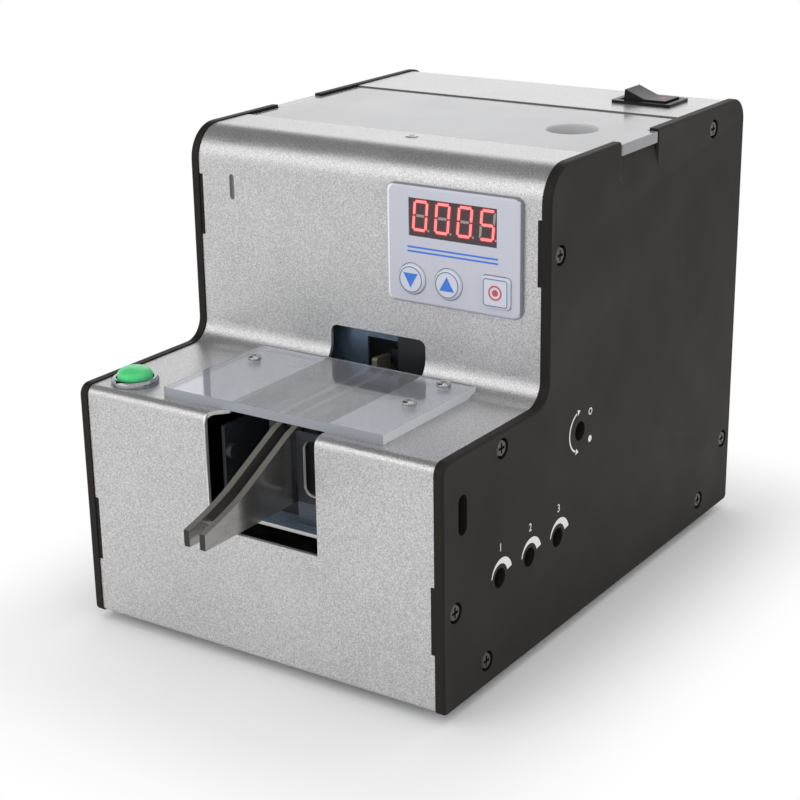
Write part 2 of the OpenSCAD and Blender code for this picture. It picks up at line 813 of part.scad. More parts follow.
module start_button_body() {
  r = start_r + pass_gap;
  color("#cfd0d3") translate([button_x, start_y, step_z]) {
    rotate_extrude()
      polygon([
        [0, -18], [start_r + 0.45, -18], [start_r + 0.45, 0], [start_r + 1.8, 0], [start_r + 1.8, 1.2],
        [start_r + 1.1, 2], [r, 2], [r, -start_travel - 4], [0, -start_travel - 4]
      ]);
    for (s = [-1, 1])
      translate([s * 3 - 0.4, -1.4, -23]) cube([0.8, 2.8, 5.5]);
  }
}

module start_button_nut() {
  color("#9a9ba0") translate([button_x, start_y, step_z - sheet_t - 2.5]) difference() {
    cylinder(h = 2.5, r = start_r + 2.6, $fn = 6);
    translate([0, 0, -1]) cylinder(h = 5, r = start_r + 0.55);
  }
}

module start_button_cap() {
  color("#2fb457") translate([button_x, start_y, step_z]) rotate_extrude()
    polygon([
      [0, -3.4], [start_r, -3.4], [start_r, 2.5], [start_r - 0.12, 3.1], [start_r - 0.45, 3.7],
      [start_r - 1, 4.2], [start_r - 1.9, 4.6], [start_r - 3.2, 4.85], [0, 5]
    ]);
}

module rocker_housing() {
  hw = rocker_w - 2.2;
  hd = rocker_d - 2.2;
  color("#202124") difference() {
    union() {
      translate([switch_x, rocker_y, top_z]) linear_extrude(1) round_rect(rocker_w, rocker_d, 0.9);
      translate([switch_x - hw / 2, rocker_y - hd / 2, top_z - 17]) cube([hw, hd, 17 + eps]);
      for (s = [-1, 0, 1])
        translate([switch_x + s * 6 - 0.4, rocker_y - 2.4, top_z - 24]) cube([0.8, 4.8, 8]);
    }
    translate([switch_x - hw / 2 + 0.8, rocker_y - hd / 2 + 0.8, top_z - 6]) cube([hw - 1.6, hd - 1.6, 20]);
    translate([switch_x, rocker_y - hd / 2 - 1, pivot_z]) rotate([-90, 0, 0])
      cylinder(h = hd + 2, r = 1 + run_fit);
  }
}

module rocker_paddle() {
  half = rocker_w / 2 - 3;
  wide = rocker_d - 4.4;
  rise = half * tan(rocker_tilt);
  color("#2a2b2e") translate([switch_x, rocker_y, pivot_z]) rotate([0, rocker_tilt, 0]) {
    along_y(-wide / 2, wide)
      polygon([
        [-half, 2.7 + rise], [0, 2.7], [half, 2.7 + rise], [half - 0.4, 0],
        [3, -2.6], [-3, -2.6], [-half + 0.4, 0]
      ]);
    translate([0, -wide / 2 - 0.9, 0]) rotate([-90, 0, 0]) cylinder(h = wide + 1.8, r = 1);
  }
}

// Side view of the hopper tub, grown by the wall thickness or not.
module tub_view(grow, high) {
  translate([hop_y, drum_z]) circle(tub_r + grow, $fn = 96);
  translate([hop_y - tub_r - grow, drum_z]) square([2 * (tub_r + grow), high - drum_z]);
}

module hopper_tub() {
  color("#7f8287") difference() {
    union() {
      along_x(tub_x0 - tub_t, tub_x1 - tub_x0 + 2 * tub_t) tub_view(tub_t, rim_top - 2);
      translate([-in_x + pass_gap, lid_y0 - rim_d, lid_z - 1.7])
        cube([2 * (in_x - pass_gap), lid_l + 2 * rim_d, rim_top - lid_z + 1.7]);
    }
    along_x(tub_x0, tub_x1 - tub_x0) tub_view(0, body_h + 5);
    translate([-body_w, lid_y0 - pass_gap, lid_z]) cube([2 * body_w, lid_l + 2 * pass_gap, 20]);
    translate([track_x - 6, tub_front - 5, rail_z - 2]) cube([12, 12, rail_h + 14]);
    translate([0, hop_y, drum_z]) rod_x(-body_w, 2 * body_w, shaft_d / 2 + 2 + 0.02);
    translate([0, roll_y, roll_z]) rod_x(-body_w, 2 * body_w, roller_d / 2 + 2 + 0.02);
    translate([track_x, top_screw_y, 0]) cylinder(h = body_h, d = screw_d + 0.1);
  }
}

module hopper_lid() {
  color("#d9dee4", 0.6) difference() {
    union() {
      translate([-in_x + pass_gap, lid_y0, lid_z]) cube([2 * (in_x - pass_gap), lid_l, lid_t]);
      translate([-body_w / 2, notch_y + pass_gap, lid_z]) cube([body_w, notch_l - 2 * pass_gap, lid_t]);
    }
    translate([finger_x * wide, hop_y, lid_z - 1]) cylinder(h = 20, d = finger_d);
  }
}

// A flanged bush in the wall of the tub, on the left or on the right.
module bush(y, z, d, left) {
  x0 = left ? tub_x0 - tub_t : tub_x1 + tub_t;
  translate([x0, y, z]) rotate([0, left ? -90 : 90, 0]) difference() {
    union() {
      translate([0, 0, -tub_t]) cylinder(h = tub_t + eps, r = d / 2 + 2);
      cylinder(h = 1.4, r = d / 2 + 3.6);
    }
    translate([0, 0, -10]) cylinder(h = 20, r = d / 2 + run_fit);
  }
}

module shaft_bushes() {
  color("#b08a4a") for (left = [true, false]) {
    bush(hop_y, drum_z, shaft_d, left);
    bush(roll_y, roll_z, roller_d, left);
  }
}

module drum_shaft() {
  x0 = gear_x - 1.2;
  color("#a9abb0") translate([0, hop_y, drum_z]) rod_x(x0, tub_x1 + tub_t + 2.6 - x0, shaft_d / 2);
}

// Side view of one scoop: a radial wall with a hooked lip along the rim.
module scoop_view() {
  rim = drum_r - 0.6;
  translate([drum_r * 0.52, -0.9]) square([rim - 0.9 - drum_r * 0.52, 1.8]);
  intersection() {
    difference() {
      circle(rim, $fn = 96);
      circle(rim - 1.8, $fn = 96);
    }
    polygon([[0, 0], polar(2 * drum_r, -18), polar(2 * drum_r, 4)]);
  }
}

// A scoop wheel with its disc at x = 0 and its scoops along x.
module scoop_wheel(len) {
  difference() {
    union() {
      along_x(0, 2.4) circle(drum_r, $fn = 96);
      along_x(0, 12) circle(shaft_d / 2 + 4);
      along_x(2.3, len - 2.3) for (i = [0 : scoops - 1])
        rotate(i * 360 / scoops) scoop_view();
    }
    rod_x(-1, len + 2, shaft_d / 2 + 0.02);
    for (i = [0 : 4])
      rotate([i * 72, 0, 0]) translate([0, drum_r * 0.42, 0]) rod_x(-1, 5, drum_r * 0.1);
  }
}

module left_scoop_wheel() {
  color("#3b3d42") translate([tub_x0 + 0.8, hop_y, drum_z]) scoop_wheel(track_x - wheel_gap - tub_x0 - 0.8);
}

module right_scoop_wheel() {
  color("#3b3d42") translate([tub_x1 - 0.8, hop_y, drum_z]) mirror([1, 0, 0])
    scoop_wheel(tub_x1 - 0.8 - track_x - wheel_gap);
}

module drum_gear() {
  rp = drum_m * drum_teeth / 2;
  color("#e6e2d6") translate([0, hop_y, drum_z]) difference() {
    union() {
      along_x(gear_x, gear_face) polygon(gear_outline(drum_m, drum_teeth));
      rod_x(gear_x, gear_face + 2.4, shaft_d / 2 + 3);
    }
    rod_x(gear_x - 1, 20, shaft_d / 2 + 0.02);
    for (i = [0 : 4])
      rotate([i * 72 + 36, 0, 0]) translate([0, rp * 0.6, 0]) rod_x(gear_x - 1, 20, rp * 0.2);
  }
}

module drum_pinion() {
  color("#e6e2d6") translate([0, motor_y, drum_z]) {
    along_x(gear_x - 0.5, gear_face + 1) rotate(180 / pinion_teeth)
      polygon(gear_outline(drum_m, pinion_teeth));
    rod_x(gear_x + gear_face, 11, 2);
  }
}

module drum_motor() {
  color("#83868c") translate([0, motor_y, drum_z]) difference() {
    union() {
      rod_x(motor_x, 21, motor_r);
      rod_x(motor_x + 20, 31, motor_r - 0.6);
      rod_x(motor_x - 1.8, 2, 5);
      rod_x(motor_x + 50, 3, 4);
      for (s = [-1, 1])
        translate([motor_x + 50, s * 6.5 - 0.4, -1.5]) cube([6, 0.8, 3]);
    }
    rod_x(motor_x - 3, 12.6, 2 + run_fit);
  }
}

module drum_motor_bracket() {
  color("#9a9ca1") difference() {
    union() {
      translate([motor_x - 2, motor_y - 9.5, floor_z]) cube([2, 19, drum_z + motor_r - floor_z + 1]);
      translate([motor_x - 2, motor_y - 9.5, floor_z]) cube([20, 19, 2]);
    }
    translate([0, motor_y, drum_z]) rod_x(motor_x - 5, 10, 5 + pass_gap);
    for (s = [-1, 1])
      translate([motor_x + 11, motor_y + s * 6, 0]) cylinder(h = 10, d = 3.2);
  }
}

module roller_shaft() {
  x0 = tub_x0 - tub_t - 2;
  color("#a9abb0") translate([0, roll_y, roll_z])
    rod_x(x0, roll_gear_x + roll_gear_w + 0.6 - x0, roller_d / 2);
}

module brush_roller() {
  tufts = 18;
  wide = 2 * wheel_gap - 4;
  color("#c8b27a") translate([track_x - wide / 2, roll_y, roll_z]) difference() {
    union() {
      along_x(0, wide)
        polygon([for (i = [0 : 2 * tufts - 1]) polar(i % 2 == 0 ? brush_r : brush_r * 0.6, i * 180 / tufts)]);
      along_x(-1, wide + 2) circle(roller_d / 2 + 2);
    }
    rod_x(-5, 30, roller_d / 2 + 0.02);
  }
}

module roller_gear() {
  color("#e6e2d6") translate([0, roll_y, roll_z]) along_x(roll_gear_x, roll_gear_w)
    gear_2d(roller_m, roller_teeth, 0, roller_d / 2 + 0.02);
}

module roller_pinion() {
  color("#b99a5b") translate([0, roll_motor_y, roll_z]) {
    along_x(roll_gear_x - 0.4, roll_gear_w + 0.8) rotate(180 / roller_pin)
      polygon(gear_outline(roller_m, roller_pin));
    rod_x(roll_gear_x - 8, 8, 1.5);
  }
}

module roller_motor() {
  x1 = roll_gear_x - 2.4;
  color("#a7a9ae") translate([0, roll_motor_y, roll_z]) difference() {
    union() {
      translate([x1 - 9, -5, -6]) cube([9, 10, 12]);
      intersection() {
        rod_x(x1 - 24, 15 + eps, 6);
        translate([x1 - 25, -5, -6]) cube([30, 10, 12]);
      }
      rod_x(x1 - 25.5, 1.6, 2.4);
    }
    rod_x(x1 - 6.2, 20, 1.5 + run_fit);
  }
}

module roller_motor_bracket() {
  x1 = roll_gear_x - 2.4;
  back = tub_front - roll_motor_y;
  color("#6f7278") translate([x1 - 19, roll_motor_y, roll_z]) {
    translate([0, 5, -12]) cube([8, back - 5, 24]);
    for (s = [-1, 1])
      translate([0, -6.5, s * 6.85 - 0.7]) cube([8, 12, 1.4]);
    translate([0, -6.5, -7.55]) cube([8, 1.4, 15.1]);
  }
}

module vibrator_base() {
  color("#54565b") translate([track_x - 9, vib_y, floor_z]) cube([18, vib_l, 12]);
}

module vibrator_coil() {
  z0 = floor_z + 12;
  coil_d = vib_l - 9;
  color("#7a4a2c") translate([track_x, vib_y + 2, z0]) difference() {
    union() {
      translate([-8, 0, 0]) cube([16, coil_d, 3]);
      translate([-5, 1, 2]) cube([10, coil_d - 2, 16]);
      translate([-8, 0, 17]) cube([16, coil_d, 3]);
    }
    translate([-2.4, coil_d / 4, 19]) cube([4.8, coil_d / 2, 2]);
  }
}

module leaf_springs() {
  low = floor_z + 4;
  color("#b6b8bc") for (y = [vib_y - 1, vib_y + vib_l])
    along_y(y, 1) difference() {
      translate([track_x - 6, low]) square([12, rail_z - 2 - low]);
      translate([track_x, (low + rail_z) / 2]) round_rect(4, 16, 1.9);
    }
}

module rail_carrier() {
  color("#6b6d73") translate([track_x, vib_y, rail_z - 10]) {
    translate([-7, 0, 0]) cube([14, vib_l, 10]);
    translate([-5, vib_l - 5.6, -26]) cube([10, 3, 26 + eps]);
  }
}

module feed_rails() {
  y0 = step_d + 2.6;
  top = rail_top + cheek_h;
  cheek = [[y0 + 7.8, rail_top], [y0 + 7.4, top - 0.5], [y0 + 0.5, top], [y0, top - 0.6]];
  color("#9fa1a6") for (left = [true, false])
    along_x(left ? track_l - chute_t : track_r, chute_t) polygon(concat(
      [
        [y0, rail_z], [hop_y + 6, rail_z], [hop_y + 12, rail_z + 4], [hop_y + 12, rail_top - 1.5],
        [hop_y + 9, rail_top]
      ],
      left ? cheek : [[y0, rail_top]]
    ));
}

// The bent sheet behind the riser window, with the opening that the rail comes through.
module throat_plate() {
  y0 = riser_y + 5.6;
  x0 = gap_x0 - 11.8;
  x1 = track_r + chute_t + pass_gap;
  top = step_z + throat_h;
  round = 2.4;
  mid = [y0 + round, top - round];
  color("#5b6470") difference() {
    along_x(x0, x1 - x0) polygon(concat(
      [[y0, rail_z + 1.2]],
      [for (a = [180 : -15 : 90]) mid + round * [cos(a), sin(a)]],
      [[tub_front, top], [tub_front, top - sheet_t]],
      [for (a = [90 : 15 : 180]) mid + (round - sheet_t) * [cos(a), sin(a)]],
      [[y0 + sheet_t, rail_z + 1.2]]
    ));
    translate([track_l - chute_t - 3.6, y0 - 1, rail_z]) cube([body_w, sheet_t + 2, step_z + 8.6 - rail_z]);
  }
}

// The rack side of the gate, drawn in y and z, with its teeth towards the spindle.
module rack_view() {
  p = PI * lock_m;
  line = lock_y - lock_r;
  half = p / 4 - backlash / 2;
  tip = half - 0.85 * lock_m * tan(25);
  root = half + 1.2 * lock_m * tan(25);
  for (k = [-5 : 2])
    translate([line, lock_z + (k + 0.5) * p])
      polygon([[-1.25 * lock_m, -root], [0.85 * lock_m, -tip], [0.85 * lock_m, tip], [-1.25 * lock_m, root]]);
}

module lock_gate() {
  line = lock_y - lock_r - 1.2 * lock_m;
  color("#8b6f3d") {
    along_x(lock_x, lock_w) {
      rack_view();
      translate([line - 3, lock_z - 10]) square([3, rail_top + 0.6 + 5 - lock_z + 10]);
    }
    translate([track_l - 1, line - 3, rail_top + 0.6]) cube([lock_x + lock_w - track_l + 1, 3, 5]);
  }
}

module lock_gate_spindle() {
  x1 = in_x - 3;
  color("#9c9ea3") difference() {
    translate([0, lock_y, lock_z]) {
      along_x(lock_x - 0.2, lock_w + 0.4) polygon(gear_outline(lock_m, lock_teeth));
      rod_x(lock_x + lock_w, x1 - lock_x - lock_w, spindle_d / 2);
      rod_x(lock_x - 2.6, 3, 1.5);
    }
    translate([x1 - 1, lock_y - 5, lock_z - 0.5]) cube([2, 10, 1]);
  }
}

// Carries the spindle and guides the gate, bolted to the front wall of the tub.
module gate_guide() {
  line = lock_y - lock_r - 1.2 * lock_m;
  x0 = lock_x - 3.4;
  x1 = lock_x + lock_w + 0.8;
  back = tub_front;
  head_x = track_r + chute_t + pass_gap + 0.15;
  color("#4a4c52") difference() {
    union() {
      translate([x1, line - 7, lock_z - 14]) cube([6, back - line + 7, 20]);
      translate([x0, back - 1.5, lock_z - 14]) cube([x1 - x0 + 1, 1.5, 20]);
      translate([x0, line - 7, lock_z - 14]) cube([x1 - x0 + 1, 3.7, 20]);
      translate([x0, line - 7, lock_z - 14]) cube([2.6, back - line + 7, 20]);
      translate([head_x, riser_y + 5, rail_z + 0.6])
        cube([x1 + 3 - head_x, line - 5.7 - riser_y - 5, step_z + throat_h - rail_z - 0.6]);
    }
    translate([0, lock_y, lock_z]) rod_x(x1 - 1, 20, spindle_d / 2 + run_fit);
    translate([0, lock_y, lock_z]) rod_x(x0 - 5, 10, 1.5 + run_fit);
  }
}

module trimmer_board() {
  x0 = in_x - 17;
  y0 = trim_y - 9;
  y1 = trim_y + 2 * trim_step + 9;
  color("#1f5a3c") difference() {
    union() {
      translate([x0, y0, trim_z - 9]) cube([1.6, y1 - y0, 18]);
      translate([x0, y0, floor_z]) cube([1.6, 8, trim_z - floor_z]);
      translate([x0, y1 - 8, floor_z]) cube([1.6, 8, trim_z - floor_z]);
      for (i = [0 : 2])
        translate([x0 + 1.5, trim_y + i * trim_step - 5, trim_z - 5]) cube([5.1, 10, 10]);
      for (y = [y0, y1 - 8])
        translate([x0 - 8, y, floor_z]) cube([9, 8, 1.6]);
    }
    for (i = [0 : 2])
      translate([x0 + 3, trim_y + i * trim_step, trim_z]) rod_x(0, 10, 2 + run_fit);
  }
}

// A screwdriver-slotted trimmer spindle behind its hole in the side plate.
module trimmer(i) {
  x0 = in_x - 14;
  difference() {
    translate([x0, trim_y + i * trim_step, trim_z]) {
      rod_x(0.3, 9, 2);
      rod_x(4.2, 6.8, 2.6);
    }
    translate([x0 + 10, trim_y + i * trim_step - 5, trim_z - 0.4]) cube([3, 10, 0.8]);
  }
}

module speed_trimmer() {
  color("#d8d4c6") trimmer(0);
}

module vibrator_trimmer() {
  color("#d8d4c6") trimmer(1);
}

module roller_trimmer() {
  color("#d8d4c6") trimmer(2);
}

module main_board() {
  z0 = floor_z + 4;
  y0 = body_d - 40;
  x0 = motor_x + 29.4;
  x1 = in_x - 6;
  color("#1f5a3c") {
    translate([x0, y0, z0]) cube([x1 - x0, 34, 1.6]);
    for (x = [x0 + 3, x1 - 3])
      for (y = [y0 + 3, y0 + 31])
        translate([x, y, floor_z]) cylinder(h = 4 + eps, r = 2.4);
  }
  color("#2b3038") {
    for (x = [x0 + 32, x0 + 44])
      translate([x, y0 + 15, z0 + 1.6 - eps]) cylinder(h = 15, r = 5);
    translate([x0 + 6, y0 + 22, z0 + 1.6 - eps]) cube([20, 6, 20]);
    translate([x1 - 24, y0 + 2, z0 + 1.6 - eps]) cube([18, 7, 9]);
    translate([x0 + 4, y0 + 4, z0 + 1.6 - eps]) cube([16, 6, 8]);
  }
}

// Puts the body frame on its feet, with the whole outline about the origin.
module place() {
  translate([0, front_y, foot_h]) children();
}

place() {
  base_plate();
  left_side_plate();
  right_side_plate();
  front_panel();
  rear_panel();
  rubber_feet();
  case_screws();
  top_screw();
  chute_guard();
  guard_screws();
  chute_left_plate();
  chute_right_plate();
  chute_bolts();
  chute_mount();
  chute_bracket();
  count_sensor();
  escapement_solenoid();
  escapement_pin();
  keypad_plate();
  display_module();
  keypad_board();
  down_key();
  up_key();
  set_key();
  start_button_body();
  start_button_nut();
  start_button_cap();
  rocker_housing();
  rocker_paddle();
  power_jack();
  hopper_tub();
  hopper_lid();
  shaft_bushes();
  drum_shaft();
  left_scoop_wheel();
  right_scoop_wheel();
  drum_gear();
  drum_pinion();
  drum_motor();
  drum_motor_bracket();
  brush_roller();
  roller_shaft();
  roller_gear();
  roller_pinion();
  roller_motor();
  roller_motor_bracket();
  vibrator_base();
  vibrator_coil();
  leaf_springs();
  rail_carrier();
  feed_rails();
  gate_guide();
  throat_plate();
  lock_gate();
  lock_gate_spindle();
  trimmer_board();
  speed_trimmer();
  vibrator_trimmer();
  roller_trimmer();
  main_board();
}
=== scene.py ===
"""Looks of a desk-top counting screw feeder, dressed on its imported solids.

Every sub-assembly is a class that shapes its pieces with Blender's own operators, gives them a
finish and seats them on the body that carries them. Lengths in the classes are in millimetres.
"""

import json
import logging
import math
from dataclasses import dataclass, replace
from enum import Enum
from typing import Callable, Optional, Sequence

import bpy
from mathutils import Matrix, Vector


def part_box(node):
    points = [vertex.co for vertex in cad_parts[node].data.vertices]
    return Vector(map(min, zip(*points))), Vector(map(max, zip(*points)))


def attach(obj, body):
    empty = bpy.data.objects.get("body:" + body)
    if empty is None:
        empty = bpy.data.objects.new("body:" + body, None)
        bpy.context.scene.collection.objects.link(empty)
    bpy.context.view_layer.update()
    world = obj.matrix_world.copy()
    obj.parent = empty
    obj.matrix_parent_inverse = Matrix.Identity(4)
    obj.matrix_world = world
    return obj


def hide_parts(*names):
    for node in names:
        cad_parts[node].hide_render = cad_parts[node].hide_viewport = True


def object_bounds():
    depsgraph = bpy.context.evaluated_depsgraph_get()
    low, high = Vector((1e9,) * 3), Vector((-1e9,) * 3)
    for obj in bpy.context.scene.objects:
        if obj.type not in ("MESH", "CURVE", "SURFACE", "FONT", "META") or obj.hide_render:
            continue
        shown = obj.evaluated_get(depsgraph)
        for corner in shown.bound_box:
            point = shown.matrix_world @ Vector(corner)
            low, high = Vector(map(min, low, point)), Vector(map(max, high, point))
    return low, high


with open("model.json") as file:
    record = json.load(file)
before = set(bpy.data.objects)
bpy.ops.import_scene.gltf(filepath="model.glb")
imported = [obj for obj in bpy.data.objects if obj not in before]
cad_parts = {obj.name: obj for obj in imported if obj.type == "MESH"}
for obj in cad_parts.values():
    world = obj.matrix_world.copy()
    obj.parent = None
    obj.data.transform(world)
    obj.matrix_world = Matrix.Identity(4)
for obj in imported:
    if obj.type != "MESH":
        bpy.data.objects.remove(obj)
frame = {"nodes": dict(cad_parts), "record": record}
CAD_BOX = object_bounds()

logging.basicConfig(level=logging.INFO, format="%(message)s")
LOG = logging.getLogger("feeder")

MM = 0.001
# From the case's own zero to that of the shared frame.
SHIFT = Vector((0.0, -78.25, 3.0))
ORIGIN = (0.0, 0.0, 0.0)
BODY_OF = {node: body for body, nodes in frame["record"]["behaviour"]["bodies"].items() for node in nodes}
SLOT_OF = {part["node"]: part["material_slot"] for part in frame["record"]["subparts"]}
# Short names for types; a test is told a place in millimetres and a normal.
Pair = tuple[float, float]
Triple = tuple[float, float, float]
Piece = bpy.types.Object
SpotTest = Callable[[Vector, Vector], bool]


def at(x: float, y: float, z: float) -> Vector:
    """Turns millimetres from mid width, front edge and underside of the side plates into the frame."""
    return (Vector((x, y, z)) + SHIFT) * MM


def linear(code: str) -> tuple[float, float, float, float]:
    """Turns an sRGB hex colour into linear light.

    Args:
        code: Six hex digits after a hash.

    Returns:
        Red, green, blue and full alpha.
    """
    tones = [int(code[i : i + 2], 16) / 255 for i in (1, 3, 5)]
    r, g, b = [t / 12.92 if t <= 0.04045 else ((t + 0.055) / 1.055) ** 2.4 for t in tones]
    return (r, g, b, 1.0)


def add_node(
    tree: bpy.types.NodeTree, kind: str, inputs: Optional[dict] = None, **settings: object
) -> bpy.types.Node:
    """Adds one node with its settings and links.

    Args:
        tree: The node tree.
        kind: The node's type name.
        inputs: Values or output sockets by input name or number.
        **settings: Fields of the node.

    Returns:
        The new node.
    """
    node = tree.nodes.new(kind)
    for name, value in settings.items():
        setattr(node, name, value)
    for name, value in (inputs or {}).items():
        if isinstance(value, bpy.types.NodeSocket):
            tree.links.new(value, node.inputs[name])
        else:
            node.inputs[name].default_value = value
    return node


class Grain(Enum):
    """What breaks up a surface: blasted or moulded grit, zinc flowers or turns of wire."""

    GRIT = "ShaderNodeTexNoise"
    SPANGLE = "ShaderNodeTexVoronoi"
    WINDING = "ShaderNodeTexWave"


# Share of the broad mottle in the tone, and the part of its noise that changes the gloss.
MOTTLE_SHARE = 0.25
MOTTLE_RANGE = (0.3, 0.7)
# Spread of the grain's noise about its middle, and height of the grain over its size.
GRAIN_SPREAD = 0.28
GRAIN_HEIGHT = 0.12
# Scale of the wave texture at which one band is a unit wide.
WAVE_SCALE = 0.31
COAT_ROUGH = 0.08


@dataclass(frozen=True)
class Finish:
    """Two tones of one material, broken up by a fine grain and a broad mottle.

    Attributes:
        name: Common name of the material and how its surface was made.
        light: Lighter tone.
        dark: Darker tone.
        rough: Roughness between the clean and the handled places.
        grain_mm: Size of the grain.
        stretch: Length of the grain along each axis, in grains.
        contrast: How hard the two tones part.
        mottle_mm: Size of the broad unevenness.
        bump: Height of the grain, where 1 is its full height.
        metallic: 1 for bare metal.
        ior: Index of refraction of what is not metal.
        specular: Strength of the gloss, where 0.5 is as the index of refraction gives it.
        coat: Clear gloss on top.
        transmission: Share of light let through.
        glow: Strength of its own light.
        grain: Kind of grain.
    """

    name: str
    light: str
    dark: str
    rough: Pair
    grain_mm: float = 0.5
    stretch: Triple = (1.0, 1.0, 1.0)
    contrast: float = 1.0
    mottle_mm: float = 22.0
    bump: float = 0.1
    metallic: float = 0.0
    ior: float = 1.5
    specular: float = 0.5
    coat: float = 0.0
    transmission: float = 0.0
    glow: float = 0.0
    grain: Grain = Grain.GRIT

    def material(self) -> bpy.types.Material:
        """Returns the material, made on first use."""
        return bpy.data.materials.get(self.name) or self._make()

    def _make(self) -> bpy.types.Material:
        """Builds the node tree.

        Returns:
            Its material.
        """
        made = bpy.data.materials.new(self.name)
        made.use_nodes = True
        tree = made.node_tree
        shader = tree.nodes["Principled BSDF"]
        for name, value in self._constants().items():
            shader.inputs[name].default_value = value
        where = add_node(tree, "ShaderNodeTexCoord").outputs["Object"]
        height = self._grain(tree, where)
        broad = {"Vector": where, "Scale": 1.0 / (self.mottle_mm * MM), "Detail": 3.0}
        mottle = add_node(tree, "ShaderNodeTexNoise", broad).outputs[0]
        half = GRAIN_SPREAD / self.contrast
        spread = {"Value": height, "From Min": 0.5 - half, "From Max": 0.5 + half}
        split = add_node(tree, "ShaderNodeMapRange", spread).outputs[0]
        mixed = {0: MOTTLE_SHARE, 2: split, 3: mottle}
        worn = add_node(tree, "ShaderNodeMix", mixed, data_type="FLOAT").outputs[0]
        tones = {0: worn, 6: linear(self.dark), 7: linear(self.light)}
        tone = add_node(tree, "ShaderNodeMix", tones, data_type="RGBA").outputs[2]
        ends = dict(zip(("From Min", "From Max", "To Min", "To Max"), MOTTLE_RANGE + self.rough))
        rough = add_node(tree, "ShaderNodeMapRange", {"Value": mottle, **ends}).outputs[0]
        raised = {"Height": height, "Strength": self.bump, "Distance": GRAIN_HEIGHT * self.grain_mm * MM}
        relief = add_node(tree, "ShaderNodeBump", raised).outputs[0]
        for name, socket in {"Base Color": tone, "Roughness": rough, "Normal": relief}.items():
            tree.links.new(socket, shader.inputs[name])
        return made

    def _constants(self) -> dict[str, object]:
        """Lists what is the same all over the surface.

        Returns:
            Values by the shader's sockets.
        """
        values: dict[str, object] = {
            "Metallic": self.metallic,
            "Coat Weight": self.coat,
            "Coat Roughness": COAT_ROUGH,
            "Transmission Weight": self.transmission,
        }
        if not self.metallic:
            values.update({"IOR": self.ior, "Specular IOR Level": self.specular})
        if self.glow:
            values.update({"Emission Color": linear(self.light), "Emission Strength": self.glow})
        return values

    def _grain(self, tree: bpy.types.NodeTree, where: bpy.types.NodeSocket) -> bpy.types.NodeSocket:
        """Adds the grain texture.

        Args:
            tree: The material's node tree.
            where: The coordinates to read.

        Returns:
            The socket with the grain's height.
        """
        drawn = {"Vector": where, "Scale": [1.0 / length for length in self.stretch]}
        scale = 1.0 / (self.grain_mm * MM)
        inputs = {"Vector": add_node(tree, "ShaderNodeMapping", drawn).outputs[0], "Scale": scale}
        if self.grain is Grain.WINDING:
            inputs.update({"Scale": WAVE_SCALE * scale, "Distortion": 0.4})
            return add_node(tree, self.grain.value, inputs, bands_direction="Z").outputs[1]
        if self.grain is Grain.GRIT:
            inputs.update({"Detail": 2.0, "Roughness": 0.6})
        return add_node(tree, self.grain.value, inputs).outputs[0]


# Steel sheet blasted with grit and lacquered silver: bright specks on a grey ground, drawn coarser
# than the real grit of 0.2 mm so that they show.
SILVER = Finish(
    "blasted_silver_sheet", "#e0dfe0", "#999899", (0.27, 0.35),
    grain_mm=0.37, contrast=1.6, bump=1.3, metallic=0.7,
)
# Darker grey painted as shade: on the floor of the riser's groove, and on the rear panel's front edge
# behind the lid, which is a sheared edge and duller too.
SHADE_GREY = Finish(
    "painted_shade_grey_sheet", "#8b8b8b", "#6b6b6b", (0.45, 0.6),
    grain_mm=0.3, bump=0.2, metallic=0.8,
)
# The bracket shelf's bare sheared front edge, made paler as a painted highlight.
BARE_HIGHLIT = Finish(
    "bare_edge_painted_highlight", "#cfd0cd", "#b2b3b0", (0.28, 0.42),
    grain_mm=0.3, bump=0.15, metallic=0.9,
)
# Near white down the left edge of the mouth: a painted highlight.
HIGHLIT_EDGE = Finish(
    "painted_highlight_sheet_edge", "#f4f5f2", "#e3e4e1", (0.25, 0.35),
    grain_mm=0.3, bump=0.1, metallic=0.9,
)
# Pale rim round the bracket's window: a painted highlight, hardly a mirror.
HIGHLIT_RIM = Finish(
    "painted_highlight_sheet_rim", "#f0f3f6", "#d9dee3", (0.3, 0.45),
    grain_mm=0.3, bump=0.1, metallic=0.2,
)
# Aluminium plate with a fine satin powder coat: warm black with a soft sheen and orange-peel.
BLACK = Finish(
    "powder_coated_black_plate", "#272320", "#1f1c19", (0.46, 0.54),
    grain_mm=0.6, bump=0.12, specular=0.12,
)
# Zinc plated steel: pale spangles with a dull shine.
ZINC = Finish(
    "zinc_plated_sheet", "#c8cacd", "#a2a5aa", (0.32, 0.5),
    grain_mm=6.0, bump=0.02, metallic=0.6, grain=Grain.SPANGLE,
)
# Bent steel with a dark satin coat: blue-grey with a dull shine.
GREY = Finish("satin_grey_sheet", "#8496a6", "#64737f", (0.3, 0.5), grain_mm=0.8, bump=0.1, metallic=0.25)
# The same coat darkened as painted shade inside the mouth: slate at the bracket's foot, nearly black on its
# left wall and upper upright. The nearly black one is also the lock gate's own dark coat.
SHADE_SLATE = replace(GREY, name="painted_shade_slate_sheet", light="#4b555f", dark="#39414a")
DARK_AND_SHADE = Finish("dark_sheet_and_painted_shade", "#2c3036", "#1b1d21", (0.4, 0.6), grain_mm=0.8, bump=0.1, metallic=0.2)
# Blued steel sheet: smooth, takes up the light of the step in front of it.
BLUED = Finish(
    "blued_steel_sheet", "#6c8090", "#55687a", (0.2, 0.32),
    grain_mm=0.8, bump=0.06, metallic=0.6,
)
# Stainless strip ground lengthwise: fine streaks along the chute, warm grey, not quite a mirror.
GROUND = Finish(
    "ground_stainless_strip", "#c8c6c3", "#a3a19e", (0.14, 0.24),
    grain_mm=0.22, stretch=(1.0, 26.0, 1.6), bump=0.16, metallic=0.91,
)
